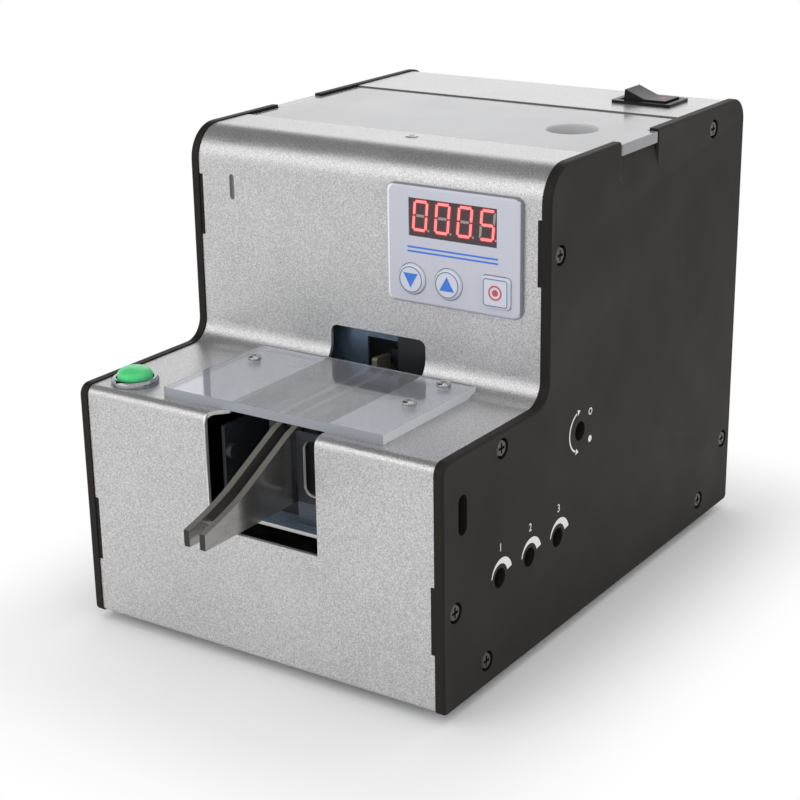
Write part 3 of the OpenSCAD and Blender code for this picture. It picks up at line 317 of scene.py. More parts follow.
# Its milled edges: matt, so they keep their own grey under a dark ceiling.
MILLED = Finish(
    "milled_strip_edge", "#7f7d73", "#66645b", (0.45, 0.58),
    grain_mm=0.25, stretch=(1.0, 8.0, 2.0), bump=0.2, metallic=0.35,
)
# Its ends, cropped and left dull: dark warm grey.
CROPPED = Finish(
    "cropped_strip_end", "#454442", "#302f2d", (0.45, 0.6),
    grain_mm=0.3, bump=0.2, metallic=0.7,
)
# Turned steel: rings of the tool along the shaft.
TURNED = Finish(
    "turned_steel", "#b4b6ba", "#8a8c91", (0.22, 0.36),
    grain_mm=0.3, stretch=(0.8, 6.0, 6.0), bump=0.12, metallic=1.0,
)
# Nickel plated screws: bright with greyish tarnish.
SCREW = Finish(
    "nickel_plated_screw", "#d5d5d4", "#9d9d9c", (0.16, 0.34),
    grain_mm=0.6, bump=0.08, metallic=1.0, mottle_mm=2.0,
)
# Screws that sit in the side plates: darker, mottled in small patches.
PLATED = Finish(
    "dark_plated_screw", "#68655e", "#34322e", (0.18, 0.32),
    grain_mm=0.6, bump=0.12, metallic=1.0, mottle_mm=2.0,
)
# Moulded rubber: matt, faintly grey with dust.
RUBBER = Finish("moulded_rubber", "#2a2a2b", "#1a1a1b", (0.7, 0.9), grain_mm=0.7, bump=0.25)
# ABS moulded in an etched tool: fine leathery grain.
MOULDED = Finish("moulded_black_abs", "#242528", "#18191b", (0.32, 0.45), grain_mm=0.35, bump=0.2)
# The rocker is moulded in a polished tool: darker and glossier.
ROCKER = Finish("polished_black_abs", "#17181b", "#101114", (0.28, 0.38), bump=0.06, specular=0.2)
# Polycarbonate film printed from behind: pale lavender grey, satin.
FILM = Finish(
    "printed_polycarbonate_film", "#c8cad6", "#bcbeca", (0.28, 0.38),
    grain_mm=0.35, bump=0.06, ior=1.58,
)
# Near white on the rounding down the plate's left side only: a painted highlight.
HIGHLIT_FILM_RIM = Finish(
    "painted_highlight_film_rim", "#f6f7f9", "#ebecf0", (0.25, 0.35),
    grain_mm=0.35, bump=0.05, ior=1.58,
)
# Plain mid grey on the plate's side walls: painted shade.
SHADE_WALL_GREY = Finish("painted_shade_grey_abs", "#82858d", "#787b83", (0.35, 0.48), grain_mm=0.35, bump=0.15)
# The same film drawn up into key domes: paler and glossier.
DOME = Finish(
    "domed_polycarbonate_film", "#d3d7e2", "#c6cad6", (0.2, 0.3),
    grain_mm=0.35, bump=0.05, ior=1.58,
)
# Epoxy cast behind a smoked filter: dark, faintly wine red and glossy.
SMOKED = Finish(
    "smoked_display_epoxy", "#3a262c", "#2b1b20", (0.15, 0.25),
    grain_mm=0.8, bump=0.04, coat=0.3,
)
# A bar of the display with its lamp on: pink at the core.
LIT = Finish("lit_display_bar", "#f9817f", "#d65d5c", (0.3, 0.4), grain_mm=0.6, bump=0.0, glow=0.8)
# Light that spills from the bar into the epoxy: deep red.
SPILL = Finish("red_light_in_epoxy", "#8e1826", "#74131f", (0.2, 0.3), grain_mm=0.6, bump=0.0, glow=0.5)
# A bar with its lamp off: grey diffuser.
UNLIT = Finish("unlit_display_bar", "#a59c9c", "#8f8586", (0.3, 0.4), grain_mm=0.6, bump=0.05)
# Screen printing inks: thin, satin, a little uneven.
BLUE_INK = Finish("blue_screen_ink", "#3f7de0", "#3571d2", (0.4, 0.5), grain_mm=0.3, bump=0.08)
LINE_INK = replace(BLUE_INK, name="grey_blue_screen_ink", light="#6b82a3", dark="#5b7294")
RED_INK = replace(BLUE_INK, name="red_screen_ink", light="#d2555f", dark="#bd444f")
WHITE_INK = Finish("white_screen_ink", "#efefed", "#dededb", (0.45, 0.55), grain_mm=0.3, bump=0.1)
# Red ink worn pale by the finger.
PALE_RED_INK = Finish("worn_red_ink", "#b0646c", "#9a545c", (0.45, 0.6), grain_mm=0.3, bump=0.08)
# Acrylic moulded in green: clear gloss over a deep even colour.
GREEN = Finish(
    "moulded_green_acrylic", "#4fd684", "#3fc473", (0.3, 0.4),
    grain_mm=1.2, bump=0.02, coat=0.15, ior=1.49,
)
# Brass turned, polished and chromed: a mirror, its colour darkened as a painted reflection of dark
# surroundings.
CHROME = Finish("chromed_bezel", "#a4a6ab", "#8b8d92", (0.06, 0.12), bump=0.03, metallic=1.0)
# Clear acrylic, faintly blue, with the haze of handling; its underside is untouched.
ACRYLIC = Finish(
    "cast_clear_acrylic", "#f3f6fe", "#eaeffb", (0.03, 0.09),
    grain_mm=2.0, bump=0.01, ior=1.49, transmission=0.845,
)
CLEAN = Finish(
    "clean_clear_acrylic", "#ffffff", "#f8faff", (0.02, 0.05),
    grain_mm=2.0, bump=0.01, ior=1.49, transmission=1.0,
)
# Its sawn edges: frosted and bluish.
SAWN = Finish(
    "sawn_acrylic_edge", "#d2d7df", "#c0c7d1", (0.3, 0.5),
    grain_mm=0.3, stretch=(4.0, 4.0, 1.0), bump=0.2, ior=1.49, transmission=0.55,
)
# Paler on the guard's right side: painted light.
LIT_SIDE = Finish(
    "painted_light_acrylic_side", "#f4f6fa", "#e6eaf1", (0.3, 0.5),
    grain_mm=0.3, bump=0.2, ior=1.49, transmission=0.25,
)
# Opal acrylic: milky, so the hopper is only guessed at.
OPAL = Finish(
    "opal_acrylic", "#b3b3b7", "#a8a9ae", (0.1, 0.17),
    grain_mm=1.5, bump=0.02, ior=1.49, transmission=0.48,
)
# Its sawn edges: frosted, with no tint.
FROSTED = Finish(
    "sawn_opal_edge", "#b8b9bb", "#a9aaad", (0.35, 0.55),
    grain_mm=0.3, bump=0.2, ior=1.49, transmission=0.4,
)
# The wall of its finger hole, cut and flamed: white.
FLAMED = Finish(
    "flamed_opal_edge", "#f6f6f7", "#ececee", (0.12, 0.25),
    grain_mm=0.6, bump=0.05, ior=1.49, transmission=0.25,
)
# Nylon gears: creamy white with a waxy shine.
NYLON = Finish("moulded_nylon", "#e8e4d8", "#d6d1c2", (0.38, 0.5), grain_mm=0.8, bump=0.06, ior=1.53)
# Turned brass: warm yellow with tool rings.
BRASS = Finish(
    "turned_brass", "#c9a35a", "#a07c3c", (0.22, 0.38),
    grain_mm=0.3, stretch=(0.8, 5.0, 5.0), bump=0.1, metallic=1.0,
)
# Drawn and plated motor can: smooth grey.
CAN = Finish(
    "drawn_motor_can", "#9a9da3", "#7c7f86", (0.24, 0.38),
    stretch=(14.0, 1.0, 1.0), bump=0.08, metallic=0.9,
)
# Iron cast in sand: coarse dark skin.
CAST = Finish("sand_cast_iron", "#5d6066", "#43464b", (0.5, 0.7), grain_mm=1.4, bump=0.5, metallic=0.4)
# Enamelled copper wire under varnish: brown rings.
COIL = Finish(
    "varnished_copper_winding", "#a5633a", "#5e3118", (0.25, 0.4),
    grain_mm=0.8, bump=0.6, metallic=0.5, grain=Grain.WINDING,
)
# Hog bristle: straw coloured strands.
BRISTLE = Finish(
    "hog_bristle", "#d3bd86", "#9c8552", (0.6, 0.8),
    grain_mm=0.35, stretch=(0.7, 5.0, 5.0), bump=0.5,
)
# Glass fibre board under green solder mask: deep green with a soft gloss.
BOARD = Finish(
    "green_circuit_board", "#26704a", "#195236", (0.25, 0.4),
    grain_mm=1.6, bump=0.12, coat=0.2,
)


class Domain(Enum):
    """What is selected in edit mode."""

    POINTS = "VERT"
    EDGES = "EDGE"
    FACES = "FACE"


# Points nearer than this, in metres, are one: in a drawing, and in a solid's loose triangles.
DRAWN_MERGE = 1e-7
SOLID_MERGE = 2e-6
# Triangles of a solid that turn less than this, in degrees, are one flat face.
FLAT_TURN = 0.4
# How much large faces lead the shading of the roundings beside them, from 1 to 100.
FACE_WEIGHT = 60
# Difference of the normals of two faces over which the edge between them is sharp.
SHARP = 0.5
# What lies nearer than this to a plane, in millimetres, is on it.
NEAR = 0.02
# Room round the place where faces are looked for, in millimetres.
ROOM = 0.1
# Share of an axis in a face's normal over which the face lies square to that axis, mostly looks
# that way, or only leans that way.
FLAT = 0.8
MOSTLY = 0.6
LEANS = 0.2
# Share of up over which a face of an acrylic sheet is one of its broad sides.
LEVEL = 0.9


class Bench:
    """The work bench: one mesh at a time, shaped with Blender's own operators."""

    @staticmethod
    def add(maker: Callable[..., set[str]], **settings: object) -> Piece:
        """Adds an object with nothing else selected.

        Args:
            maker: One of Blender's add operators.
            **settings: What it is told.

        Returns:
            The new object.
        """
        bpy.ops.object.select_all(action="DESELECT")
        maker(**settings)
        return bpy.context.active_object

    @staticmethod
    def take(obj: Piece) -> Piece:
        """Makes an object the only one selected, in object mode.

        Args:
            obj: The object.

        Returns:
            The same object.
        """
        if bpy.context.mode != "OBJECT":
            bpy.ops.object.mode_set(mode="OBJECT")
        bpy.ops.object.select_all(action="DESELECT")
        obj.select_set(True)
        bpy.context.view_layer.objects.active = obj
        return obj

    @staticmethod
    def whole(obj: Piece) -> None:
        """Opens an object in edit mode with all of it selected.

        Args:
            obj: The object.
        """
        Bench.take(obj)
        bpy.ops.object.mode_set(mode="EDIT")
        bpy.ops.mesh.select_all(action="SELECT")

    @staticmethod
    def pick(obj: Piece, domain: Domain, test: SpotTest) -> int:
        """Opens an object in edit mode with some of it selected.

        Args:
            obj: The object.
            domain: Points, edges or faces.
            test: Told the place in the frame in millimetres and the normal, or for an edge the
                difference of the normals of the faces that meet there.

        Returns:
            How many were picked.
        """
        Bench.whole(obj)
        bpy.ops.mesh.select_mode(type=domain.value)
        bpy.ops.mesh.select_all(action="DESELECT")
        bpy.ops.object.mode_set(mode="OBJECT")
        if domain is Domain.POINTS:
            parts = [(point, point.co, point.normal) for point in obj.data.vertices]
        elif domain is Domain.FACES:
            parts = [(face, face.center, face.normal) for face in obj.data.polygons]
        else:
            parts = Bench._edges(obj.data)
        count = 0
        for part, middle, way in parts:
            part.select = bool(test(middle / MM, way))
            count += part.select
        bpy.ops.object.mode_set(mode="EDIT")
        return count

    @staticmethod
    def _edges(mesh: bpy.types.Mesh) -> list[tuple[bpy.types.MeshEdge, Vector, Vector]]:
        """Lists the edges of a mesh.

        Args:
            mesh: The mesh.

        Returns:
            Each edge with its middle and the difference of the normals of its faces.
        """
        normals: dict[tuple[int, int], list[Vector]] = {}
        for face in mesh.polygons:
            for key in face.edge_keys:
                normals.setdefault(key, []).append(face.normal)
        found = []
        for edge in mesh.edges:
            start, end = [mesh.vertices[index].co for index in edge.vertices]
            sides = normals[edge.key]
            found.append((edge, (start + end) / 2, sides[0] - sides[-1]))
        return found

    @staticmethod
    def shift(obj: Piece, test: SpotTest, way: Vector) -> None:
        """Moves the points that a test tells by a vector in millimetres."""
        Bench.pick(obj, Domain.POINTS, test)
        bpy.ops.transform.translate(value=way * MM)

    @staticmethod
    def round_edges(obj: Piece, test: SpotTest, width: float, segments: int, clamp: bool = True) -> None:
        """Rounds some edges of a piece.

        Args:
            obj: The piece.
            test: Tells the edges.
            width: Width of the rounding.
            segments: Faces across it.
            clamp: Whether short edges beside them hold the rounding back.
        """
        Bench.pick(obj, Domain.EDGES, test)
        bpy.ops.mesh.bevel(
            offset=width * MM, segments=segments, affect="EDGES", clamp_overlap=clamp, loop_slide=False
        )

    @staticmethod
    def ease(obj: Piece, width: float, segments: int = 2, angle: float = 34.0) -> Piece:
        """Rounds all the sharp edges of a piece.

        Args:
            obj: The piece.
            width: Width of the rounding.
            segments: Faces across it.
            angle: Edges that turn more than this, in degrees, are rounded.

        Returns:
            The piece.
        """
        Bench.take(obj)
        rounding = obj.modifiers.new("ease", "BEVEL")
        rounding.width = width * MM
        rounding.segments = segments
        rounding.limit_method = "ANGLE"
        rounding.angle_limit = math.radians(angle)
        rounding.use_clamp_overlap = True
        rounding.loop_slide = False
        bpy.ops.object.modifier_apply(modifier="ease")
        bpy.ops.object.shade_smooth_by_angle(angle=math.radians(angle))
        even = obj.modifiers.new("even", "WEIGHTED_NORMAL")
        even.weight = FACE_WEIGHT
        even.keep_sharp = True
        bpy.ops.object.modifier_apply(modifier="even")
        return obj

    @staticmethod
    def settle(obj: Piece, angle: float = 32.0) -> Piece:
        """Merges points that lie together, brings the piece's place into its mesh and smooths it.

        Args:
            obj: The object.
            angle: Edges that turn less than this, in degrees, are smooth.

        Returns:
            The object.
        """
        Bench.whole(obj)
        bpy.ops.mesh.remove_doubles(threshold=DRAWN_MERGE)
        Bench.take(obj)
        bpy.ops.object.transform_apply(location=True, rotation=True, scale=True)
        bpy.ops.object.shade_smooth_by_angle(angle=math.radians(angle))
        return obj

    @staticmethod
    def stand(obj: Piece, place: Matrix) -> Piece:
        """Copies a piece with its own mesh.

        Args:
            obj: The piece that repeats, at the origin.
            place: Where the copy goes.

        Returns:
            The copy, with its place in its mesh.
        """
        copy = bpy.data.objects.new(obj.name, obj.data.copy())
        bpy.context.scene.collection.objects.link(copy)
        copy.matrix_world = place
        Bench.take(copy)
        bpy.ops.object.transform_apply(location=True, rotation=True, scale=True)
        return copy

    @staticmethod
    def join(objs: Sequence[Piece]) -> Piece:
        """Joins several pieces into one.

        Args:
            objs: The pieces.

        Returns:
            The first of them, which takes up the others.
        """
        Bench.take(objs[0])
        for obj in objs:
            obj.select_set(True)
        bpy.ops.object.join()
        return objs[0]

    @staticmethod
    def scrap(*patterns: Piece) -> None:
        """Throws pattern pieces away."""
        for pattern in patterns:
            bpy.data.meshes.remove(pattern.data)

    @staticmethod
    def copied(node: str) -> Piece:
        """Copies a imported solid.

        Args:
            node: The solid.

        Returns:
            The copy, with its points merged and its flat faces whole.
        """
        source = frame["nodes"][node]
        obj = bpy.data.objects.new(f"{node}_finished", source.data.copy())
        bpy.context.scene.collection.objects.link(obj)
        obj.data.materials.clear()
        Bench.whole(obj)
        bpy.ops.mesh.remove_doubles(threshold=SOLID_MERGE)
        bpy.ops.mesh.dissolve_limited(angle_limit=math.radians(FLAT_TURN))
        bpy.ops.mesh.select_all(action="SELECT")
        bpy.ops.mesh.delete_loose()
        return Bench.take(obj)


def finishes(obj: Piece, main: Finish, *others: tuple[Finish, SpotTest]) -> Piece:
    """Gives some faces of a piece another finish than the rest.

    Args:
        obj: The piece.
        main: Finish of the rest.
        *others: Further finishes, each with a test that is told a face's place on the case in
            millimetres and its normal; the last one that says yes is kept.

    Returns:
        The piece.
    """
    obj.data.materials.append(main.material())
    for index, (finish, test) in enumerate(others, 1):
        obj.data.materials.append(finish.material())
        count = Bench.pick(obj, Domain.FACES, lambda spot, normal: test(spot - SHIFT, normal))
        LOG.info("%s has %d faces in %s", obj.name, count, finish.name)
        obj.active_material_index = index
        bpy.ops.object.material_slot_assign()
    return Bench.take(obj)


def sawn_sides(_: Vector, normal: Vector) -> bool:
    """Tells the sawn sides of a sheet that lies flat."""
    return abs(normal.z) < LEVEL


class Assembly:
    """A group of pieces that belong together on the machine."""

    def build(self) -> None:
        """Shapes, dresses and seats the pieces."""
        raise NotImplementedError

    def seat(
        self,
        obj: Piece,
        name: str,
        body: str,
        finish: Finish,
        slot: str,
        stands_for: Sequence[str] = (),
    ) -> None:
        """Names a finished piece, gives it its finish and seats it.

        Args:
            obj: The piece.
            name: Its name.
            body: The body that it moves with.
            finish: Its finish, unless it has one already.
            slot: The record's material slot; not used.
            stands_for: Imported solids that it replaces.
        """
        Bench.take(obj)
        obj.name = obj.data.name = name
        if not obj.data.materials:
            obj.data.materials.append(finish.material())
        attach(obj, body)
        if stands_for:
            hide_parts(*stands_for)
        LOG.info("%s rides on %s in %s", name, body, finish.name)

    def soften(self, node: str, finish: Finish, width: float, segments: int = 2) -> None:
        """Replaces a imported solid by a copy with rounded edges, of this width and number of faces."""
        self.stand_in(Bench.ease(Bench.copied(node), width, segments), node, finish)

    def stand_in(self, obj: Piece, node: str, finish: Finish) -> None:
        """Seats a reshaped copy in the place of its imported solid."""
        self.seat(obj, f"{node}_finished", BODY_OF[node], finish, SLOT_OF[node], [node])

    def paint(self, finish: Finish, *nodes: str) -> None:
        """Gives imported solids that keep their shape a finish.

        Args:
            finish: The finish.
            *nodes: The solids.
        """
        for node in nodes:
            obj = frame["nodes"][node]
            if not obj.material_slots:
                obj.data.materials.append(None)
            for place in obj.material_slots:
                place.material = finish.material()
            LOG.info("%s keeps its solid in %s", node, finish.name)


class Print(Enum):
    """The way that printing faces: to the right, to the front or upwards."""

    RIGHT = Matrix(((0, 0, 1), (1, 0, 0), (0, 1, 0)))
    FRONT = Matrix(((1, 0, 0), (0, 0, -1), (0, 1, 0)))
    UP = Matrix(((1, 0, 0), (0, 1, 0), (0, 0, 1)))

    def place(self, spot: Vector, turn: float = 0.0) -> Matrix:
        """Returns the matrix that takes a flat drawing, turned by so many degrees, to a spot in metres."""
        spun = Matrix.Rotation(math.radians(turn), 4, "Z")
        return Matrix.Translation(spot) @ self.value.to_4x4() @ spun


class Ink:
    """Flat printed marks, drawn about the origin; a trace stands proud and the rest is in the surface.

    Attributes:
        PROUD: How far a mark stands out.
        DEEP: How far it reaches in.
        ROUND: Sides of a full circle.
        CORNER: Faces round a corner.
        TEXT_SIZE: Size of text over the height of its digits.
    """

    PROUD = 0.03
    DEEP = 0.12
    ROUND = 96
    CORNER = 6
    TEXT_SIZE = 1.42

    @staticmethod
    def _thick(obj: Piece) -> Piece:
        """Gives a flat drawing its thickness through the surface.

        Args:
            obj: The drawing.

        Returns:
            The same drawing.
        """
        Bench.whole(obj)
        bpy.ops.mesh.normals_make_consistent(inside=False)
        bpy.ops.transform.translate(value=(0, 0, -Ink.DEEP * MM))
        rise = (0, 0, (Ink.PROUD + Ink.DEEP) * MM)
        bpy.ops.mesh.extrude_region_move(TRANSFORM_OT_translate={"value": rise})
        bpy.ops.mesh.select_all(action="SELECT")
        bpy.ops.mesh.normals_make_consistent(inside=False)
        return Bench.settle(obj)

    @staticmethod
    def _circle(sides: int, radius: float, fill: str = "NGON") -> Piece:
        """Draws a circle or an even shape with its first corner at the top.

        Args:
            sides: Number of its sides.
            radius: Radius of its corners.
            fill: How Blender fills it.

        Returns:
            The drawing, in edit mode with all of it selected.
        """
        circle = bpy.ops.mesh.primitive_circle_add
        obj = Bench.add(circle, vertices=sides, radius=radius * MM, fill_type=fill)
        Bench.whole(obj)
        return obj

    @staticmethod
    def shape(sides: int, radius: float) -> Piece:
        """Returns a filled shape with even sides and its corners at a radius."""
        return Ink._thick(Ink._circle(sides, radius))

    @staticmethod
    def arc(radius: float, grow: float, start: float, end: float, pivot: Vector) -> Piece:
        """Draws a band along an arc, even or tapered.

        Args:
            radius: Inner radius.
            grow: Outer size over inner size.
            start: First angle in degrees.
            end: Last angle in degrees.
            pivot: Where the outer edge is scaled from; off the middle the band tapers.

        Returns:
            The drawing.
        """
        obj = Ink._circle(Ink.ROUND, radius, "NOTHING")

        def outside(spot: Vector, _: Vector) -> bool:
            """Tells the points of the circle that are not on the arc."""
            angle = math.degrees(math.atan2(spot.y, spot.x)) - (start + end) / 2
            return abs((angle + 180) % 360 - 180) > (end - start) / 2

        if Bench.pick(obj, Domain.POINTS, outside):
            bpy.ops.mesh.delete(type="VERT")
        bpy.ops.mesh.select_mode(type="EDGE")
        bpy.ops.mesh.select_all(action="SELECT")
        bpy.ops.mesh.extrude_edges_move()
        bpy.ops.transform.resize(value=(grow, grow, 1), center_override=pivot * MM)
        return Ink._thick(obj)

    @staticmethod
    def ring(radius: float, grow: float) -> Piece:
        """Returns a ring of an inner radius and of its outer size over its inner size."""
        return Ink.arc(radius, grow, -180, 180, Vector())

    @staticmethod
    def bar(length: float, width: float) -> Piece:
        """Draws a bar with pointed ends along the first axis.

        Args:
            length: Length over the points.
            width: Width.

        Returns:
            The drawing.
        """
        # A hexagon with two corners on the first axis, squeezed to be as long as it is wide.
        obj = Ink._circle(sides=6, radius=width / math.sqrt(3))
        bpy.ops.transform.rotate(value=math.radians(30), orient_axis="Z", center_override=ORIGIN)
        bpy.ops.transform.resize(value=(math.sqrt(3) / 2, 1, 1), center_override=ORIGIN)
        for side in (-1, 1):
            out = Vector((side * (length - width) / 2, 0, 0))
            Bench.shift(obj, lambda spot, _: spot.x * side > NEAR, out)
        return Ink._thick(obj)

    @staticmethod
    def panel(width: float, height: float, corner: float, line: float = 0.0) -> Piece:
        """Draws a rectangle with round corners, filled or as an outline.

        Args:
            width: Width over the line.
            height: Height over the line.
            corner: Outer corner radius.
            line: Width of the outline, or 0 to fill it.

        Returns:
            The drawing.
        """
        obj = Bench.add(bpy.ops.mesh.primitive_plane_add, size=MM)
        Bench.whole(obj)
        bpy.ops.transform.resize(value=(width, height, 1), center_override=ORIGIN)
        bpy.ops.mesh.bevel(offset=corner * MM, segments=Ink.CORNER, affect="VERTICES")
        if line:
            bpy.ops.mesh.select_mode(type="FACE")
            bpy.ops.mesh.select_all(action="SELECT")
            bpy.ops.mesh.inset(thickness=line * MM)
            bpy.ops.mesh.delete(type="FACE")
        return Ink._thick(obj)

    @staticmethod
    def digit(text: str, height: float) -> Piece:
        """Draws a plain number.

        Args:
            text: The number.
            height: Height of its digits.

        Returns:
            The drawing, as a mesh.
        """
        obj = Bench.add(bpy.ops.object.text_add)
        obj.data.body = text
        obj.data.size = height * Ink.TEXT_SIZE * MM
        obj.data.align_x = "CENTER"
        obj.data.align_y = "CENTER"
        obj.data.resolution_u = 4
        bpy.ops.object.convert(target="MESH")
        return Ink._thick(bpy.context.active_object)


@dataclass
class Case(Assembly):
    """Two black side plates with a bent front panel, a rear panel and a base between them.

    Attributes:
        half_width: Half the width over the side plates.
        rim: Rounding of the outer edges of a side plate.
        plate_ease: Rounding of its other edges.
        plate_turn: Turn in degrees over which those edges are rounded.
        holes: Screw and access holes that keep their crisp edges, as y and z.
        hole_reach: How far round a hole the edges are kept.
        print_relief: How far the right plate's face stands back, so that its print stays within the case.
        sheet_ease: Rounding of the edges of the bent panels.
        lid_edge_z: Height over which the rear panel's front edge shows behind the lid.
        groove: Middle of the groove in the riser, as x, y of its floor and z.
        groove_reach: How far from there the faces of its floor lie.
        mouth_x: Left side of the mouth.
        mouth_y: Depth up to which the front edge down that side reaches.
        mouth_z: Height over which that edge is rounded.
        mouth_break: Width of that rounding, which gets a painted highlight.
    """

    half_width: float = 65.0
    rim: float = 0.9
    plate_ease: float = 0.18
    plate_turn: float = 40.0
    holes: Sequence[Pair] = (
        (63, 118), (164, 137), (31, 70), (6.3, 29.6), (23, 7.6), (164, 7.6), (182, 24.6),
        (29.8, 31), (46.65, 31), (63.5, 31), (76.4, 60.8), (10, 62), (10, 57.5), (10, 53),
    )
    hole_reach: float = 3.9
    print_relief: float = 0.04
    sheet_ease: float = 0.3
    lid_edge_z: float = 142.0
    groove: Triple = (-49.0, 58.0, 126.0)
    groove_reach: Triple = (1.0, 0.1, 4.2)
    mouth_x: float = -16.5
    mouth_y: float = 1.5
    mouth_z: float = 39.5
    mouth_break: float = 0.5

    def build(self) -> None:
        """Builds the case."""
        for node in ("left_side_plate", "right_side_plate"):
            self._side(node)
        front = Bench.copied("front_panel")
        Bench.round_edges(front, self._on_mouth_corner, self.mouth_break, segments=3, clamp=False)
        Bench.ease(front, self.sheet_ease)
        # The groove's floor gets painted shade and the mouth's left edge a painted highlight.
        finishes(front, SILVER, (SHADE_GREY, self._in_groove), (HIGHLIT_EDGE, self._on_mouth_edge))
        self.stand_in(front, "front_panel", SILVER)
        rear = Bench.ease(Bench.copied("rear_panel"), self.sheet_ease)
        # The rear panel's front edge behind the lid gets painted shade.
        finishes(rear, SILVER, (SHADE_GREY, self._behind_lid))
        self.stand_in(rear, "rear_panel", SILVER)
        self.soften("rubber_feet", RUBBER, width=0.6, segments=3)
        self.soften("case_screws", PLATED, width=0.12)
        self.soften("top_screw", SCREW, width=0.06)
        self.soften("power_jack", MOULDED, width=0.2)
        self.paint(ZINC, "base_plate")

    def _side(self, node: str) -> None:
        """Rounds the outer edges of a side plate and seats it.

        Args:
            node: The plate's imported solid.
        """
        obj = Bench.copied(node)
        Bench.round_edges(obj, self._on_rim, self.rim, segments=4)
        Bench.ease(obj, self.plate_ease, angle=self.plate_turn)
        back = Vector((-self.print_relief, 0, 0))
        Bench.shift(obj, lambda spot, _: spot.x > self.half_width - NEAR, back)
        self.stand_in(obj, node, BLACK)

    def _on_rim(self, spot: Vector, turn: Vector) -> bool:
        """Tells the edges of a plate's outer face from its seams and from those of its holes.

        Args:
            spot: Middle of the edge.
            turn: Difference of the normals of its faces.

        Returns:
            Whether it is one of them.
        """
        if abs(abs(spot.x) - self.half_width) > NEAR or turn.length < SHARP:
            return False
        _, y, z = spot - SHIFT
        return all(math.hypot(y - a, z - b) > self.hole_reach for a, b in self.holes)

    def _behind_lid(self, spot: Vector, normal: Vector) -> bool:
        """Tells the rear panel's front edge behind the lid, which gets painted shade."""
        return normal.y < -FLAT and spot.z > self.lid_edge_z

    def _beside_mouth(self, spot: Vector, reach: float) -> bool:
        """Tells what is within reach of the front edge down the left side of the mouth."""
        return abs(spot.x - self.mouth_x) < reach and spot.y < self.mouth_y

    def _on_mouth_corner(self, spot: Vector, turn: Vector) -> bool:
        """Tells the front edge down the left side of the mouth, before it is rounded."""
        place = spot - SHIFT
        return self._beside_mouth(place, NEAR) and place.z > self.mouth_z and turn.length > SHARP

    def _on_mouth_edge(self, spot: Vector, normal: Vector) -> bool:
        """Tells the rounding down the left side of the mouth, which gets a painted highlight."""
        beside = self._beside_mouth(spot, self.mouth_break + ROOM)
        return beside and normal.x > LEANS and normal.y < -LEANS

    def _in_groove(self, spot: Vector, normal: Vector) -> bool:
        """Tells the floor of the riser's groove from the other faces of the front panel; the floor gets
        painted shade.
        """
        inside = all(abs(a - b) < reach for a, b, reach in zip(spot, self.groove, self.groove_reach))
        return inside and normal.y < -FLAT


@dataclass
class SidePrint(Assembly):
    """White marks on the right side plate: a wedge over each trimmer, an arrow beside the gate lock.

    Attributes:
        face: Distance of the plate's face from mid width.
        trimmers: Places of the trimmer holes along the case.
        trim_z: Height of the trimmer holes.
        wedge: Inner radius of a wedge, its growth, and its first and last angle.
        wedge_pivot: Where a wedge grows from.
        number_h: Height of the numbers.
        number_at: Place of a number from its hole, as y and z.
        lock: Place of the lock hole, as y and z.
        arrow: Inner radius and width of the arrow.
        arrow_ends: First and last angle of its shaft.
        head_r: Radius of the corners of its heads.
        head_at: Radius at which the heads lie, and how far past the shaft's ends, in degrees.
        signs: Inner radius and growth of the ring beside the lock, and radius of the disc.
        signs_at: Place of the ring from the lock hole, as y and z; the disc is as far below it.
    """

    face: float = 64.96
    trimmers: Sequence[float] = (29.8, 46.65, 63.5)
    trim_z: float = 31.0
    wedge: tuple[float, float, float, float] = (4.3, 1.34, 12.0, 172.0)
    wedge_pivot: Triple = (-3.2, -0.25, 0.0)
    number_h: float = 2.5
    number_at: Pair = (0.4, 9.2)
    lock: Pair = (76.4, 60.8)
    arrow: Pair = (6.1, 0.55)
    arrow_ends: Pair = (106.0, 246.0)
    head_r: float = 1.1
    head_at: Pair = (6.37, 7.0)
    signs: Triple = (0.75, 1.5, 1.05)
    signs_at: Pair = (6.4, 4.4)

    def build(self) -> None:
        """Draws the marks and prints them on the plate."""
        marks = []
        wedge = Ink.arc(*self.wedge, Vector(self.wedge_pivot))
        for index, y in enumerate(self.trimmers, 1):
            marks.append(self._print(wedge, y, self.trim_z))
            number = Ink.digit(str(index), self.number_h)
            marks.append(self._print(number, y + self.number_at[0], self.trim_z + self.number_at[1]))
            Bench.scrap(number)
        Bench.scrap(wedge)
        marks += self._arrow()
        aside, rise = self.signs_at
        signs = ((Ink.ring(*self.signs[:2]), rise), (Ink.shape(sides=32, radius=self.signs[2]), -rise))
        for pattern, up in signs:
            marks.append(self._print(pattern, self.lock[0] + aside, self.lock[1] + up))
            Bench.scrap(pattern)
        self.seat(Bench.join(marks), "side_plate_marks", "case", WHITE_INK, "black_paint")

    def _print(self, pattern: Piece, y: float, z: float, turn: float = 0.0) -> Piece:
        """Returns a copy of a flat drawing on the plate, turned by so many degrees."""
        return Bench.stand(pattern, Print.RIGHT.place(at(self.face, y, z), turn))

    def _arrow(self) -> list[Piece]:
        """Draws the two-headed arrow round the front of the lock hole.

        Returns:
            Its pieces.
        """
        radius, width = self.arrow
        first, last = self.arrow_ends
        away, past = self.head_at
        shaft = Ink.arc(radius, 1.0 + width / radius, first, last, Vector())
        head = Ink.shape(sides=3, radius=self.head_r)
        pieces = [self._print(shaft, *self.lock)]
        for angle, turn in ((first - past, 180), (last + past, 0)):
            way = math.radians(angle)
            y = self.lock[0] + away * math.cos(way)
            z = self.lock[1] + away * math.sin(way)
            pieces.append(self._print(head, y, z, angle - turn))
        Bench.scrap(shaft, head)
        return pieces


# Letters of the bars that are lit for a digit, from the top clockwise and the middle one last.
LIT_BARS = {"0": "abcdef", "5": "acdfg"}


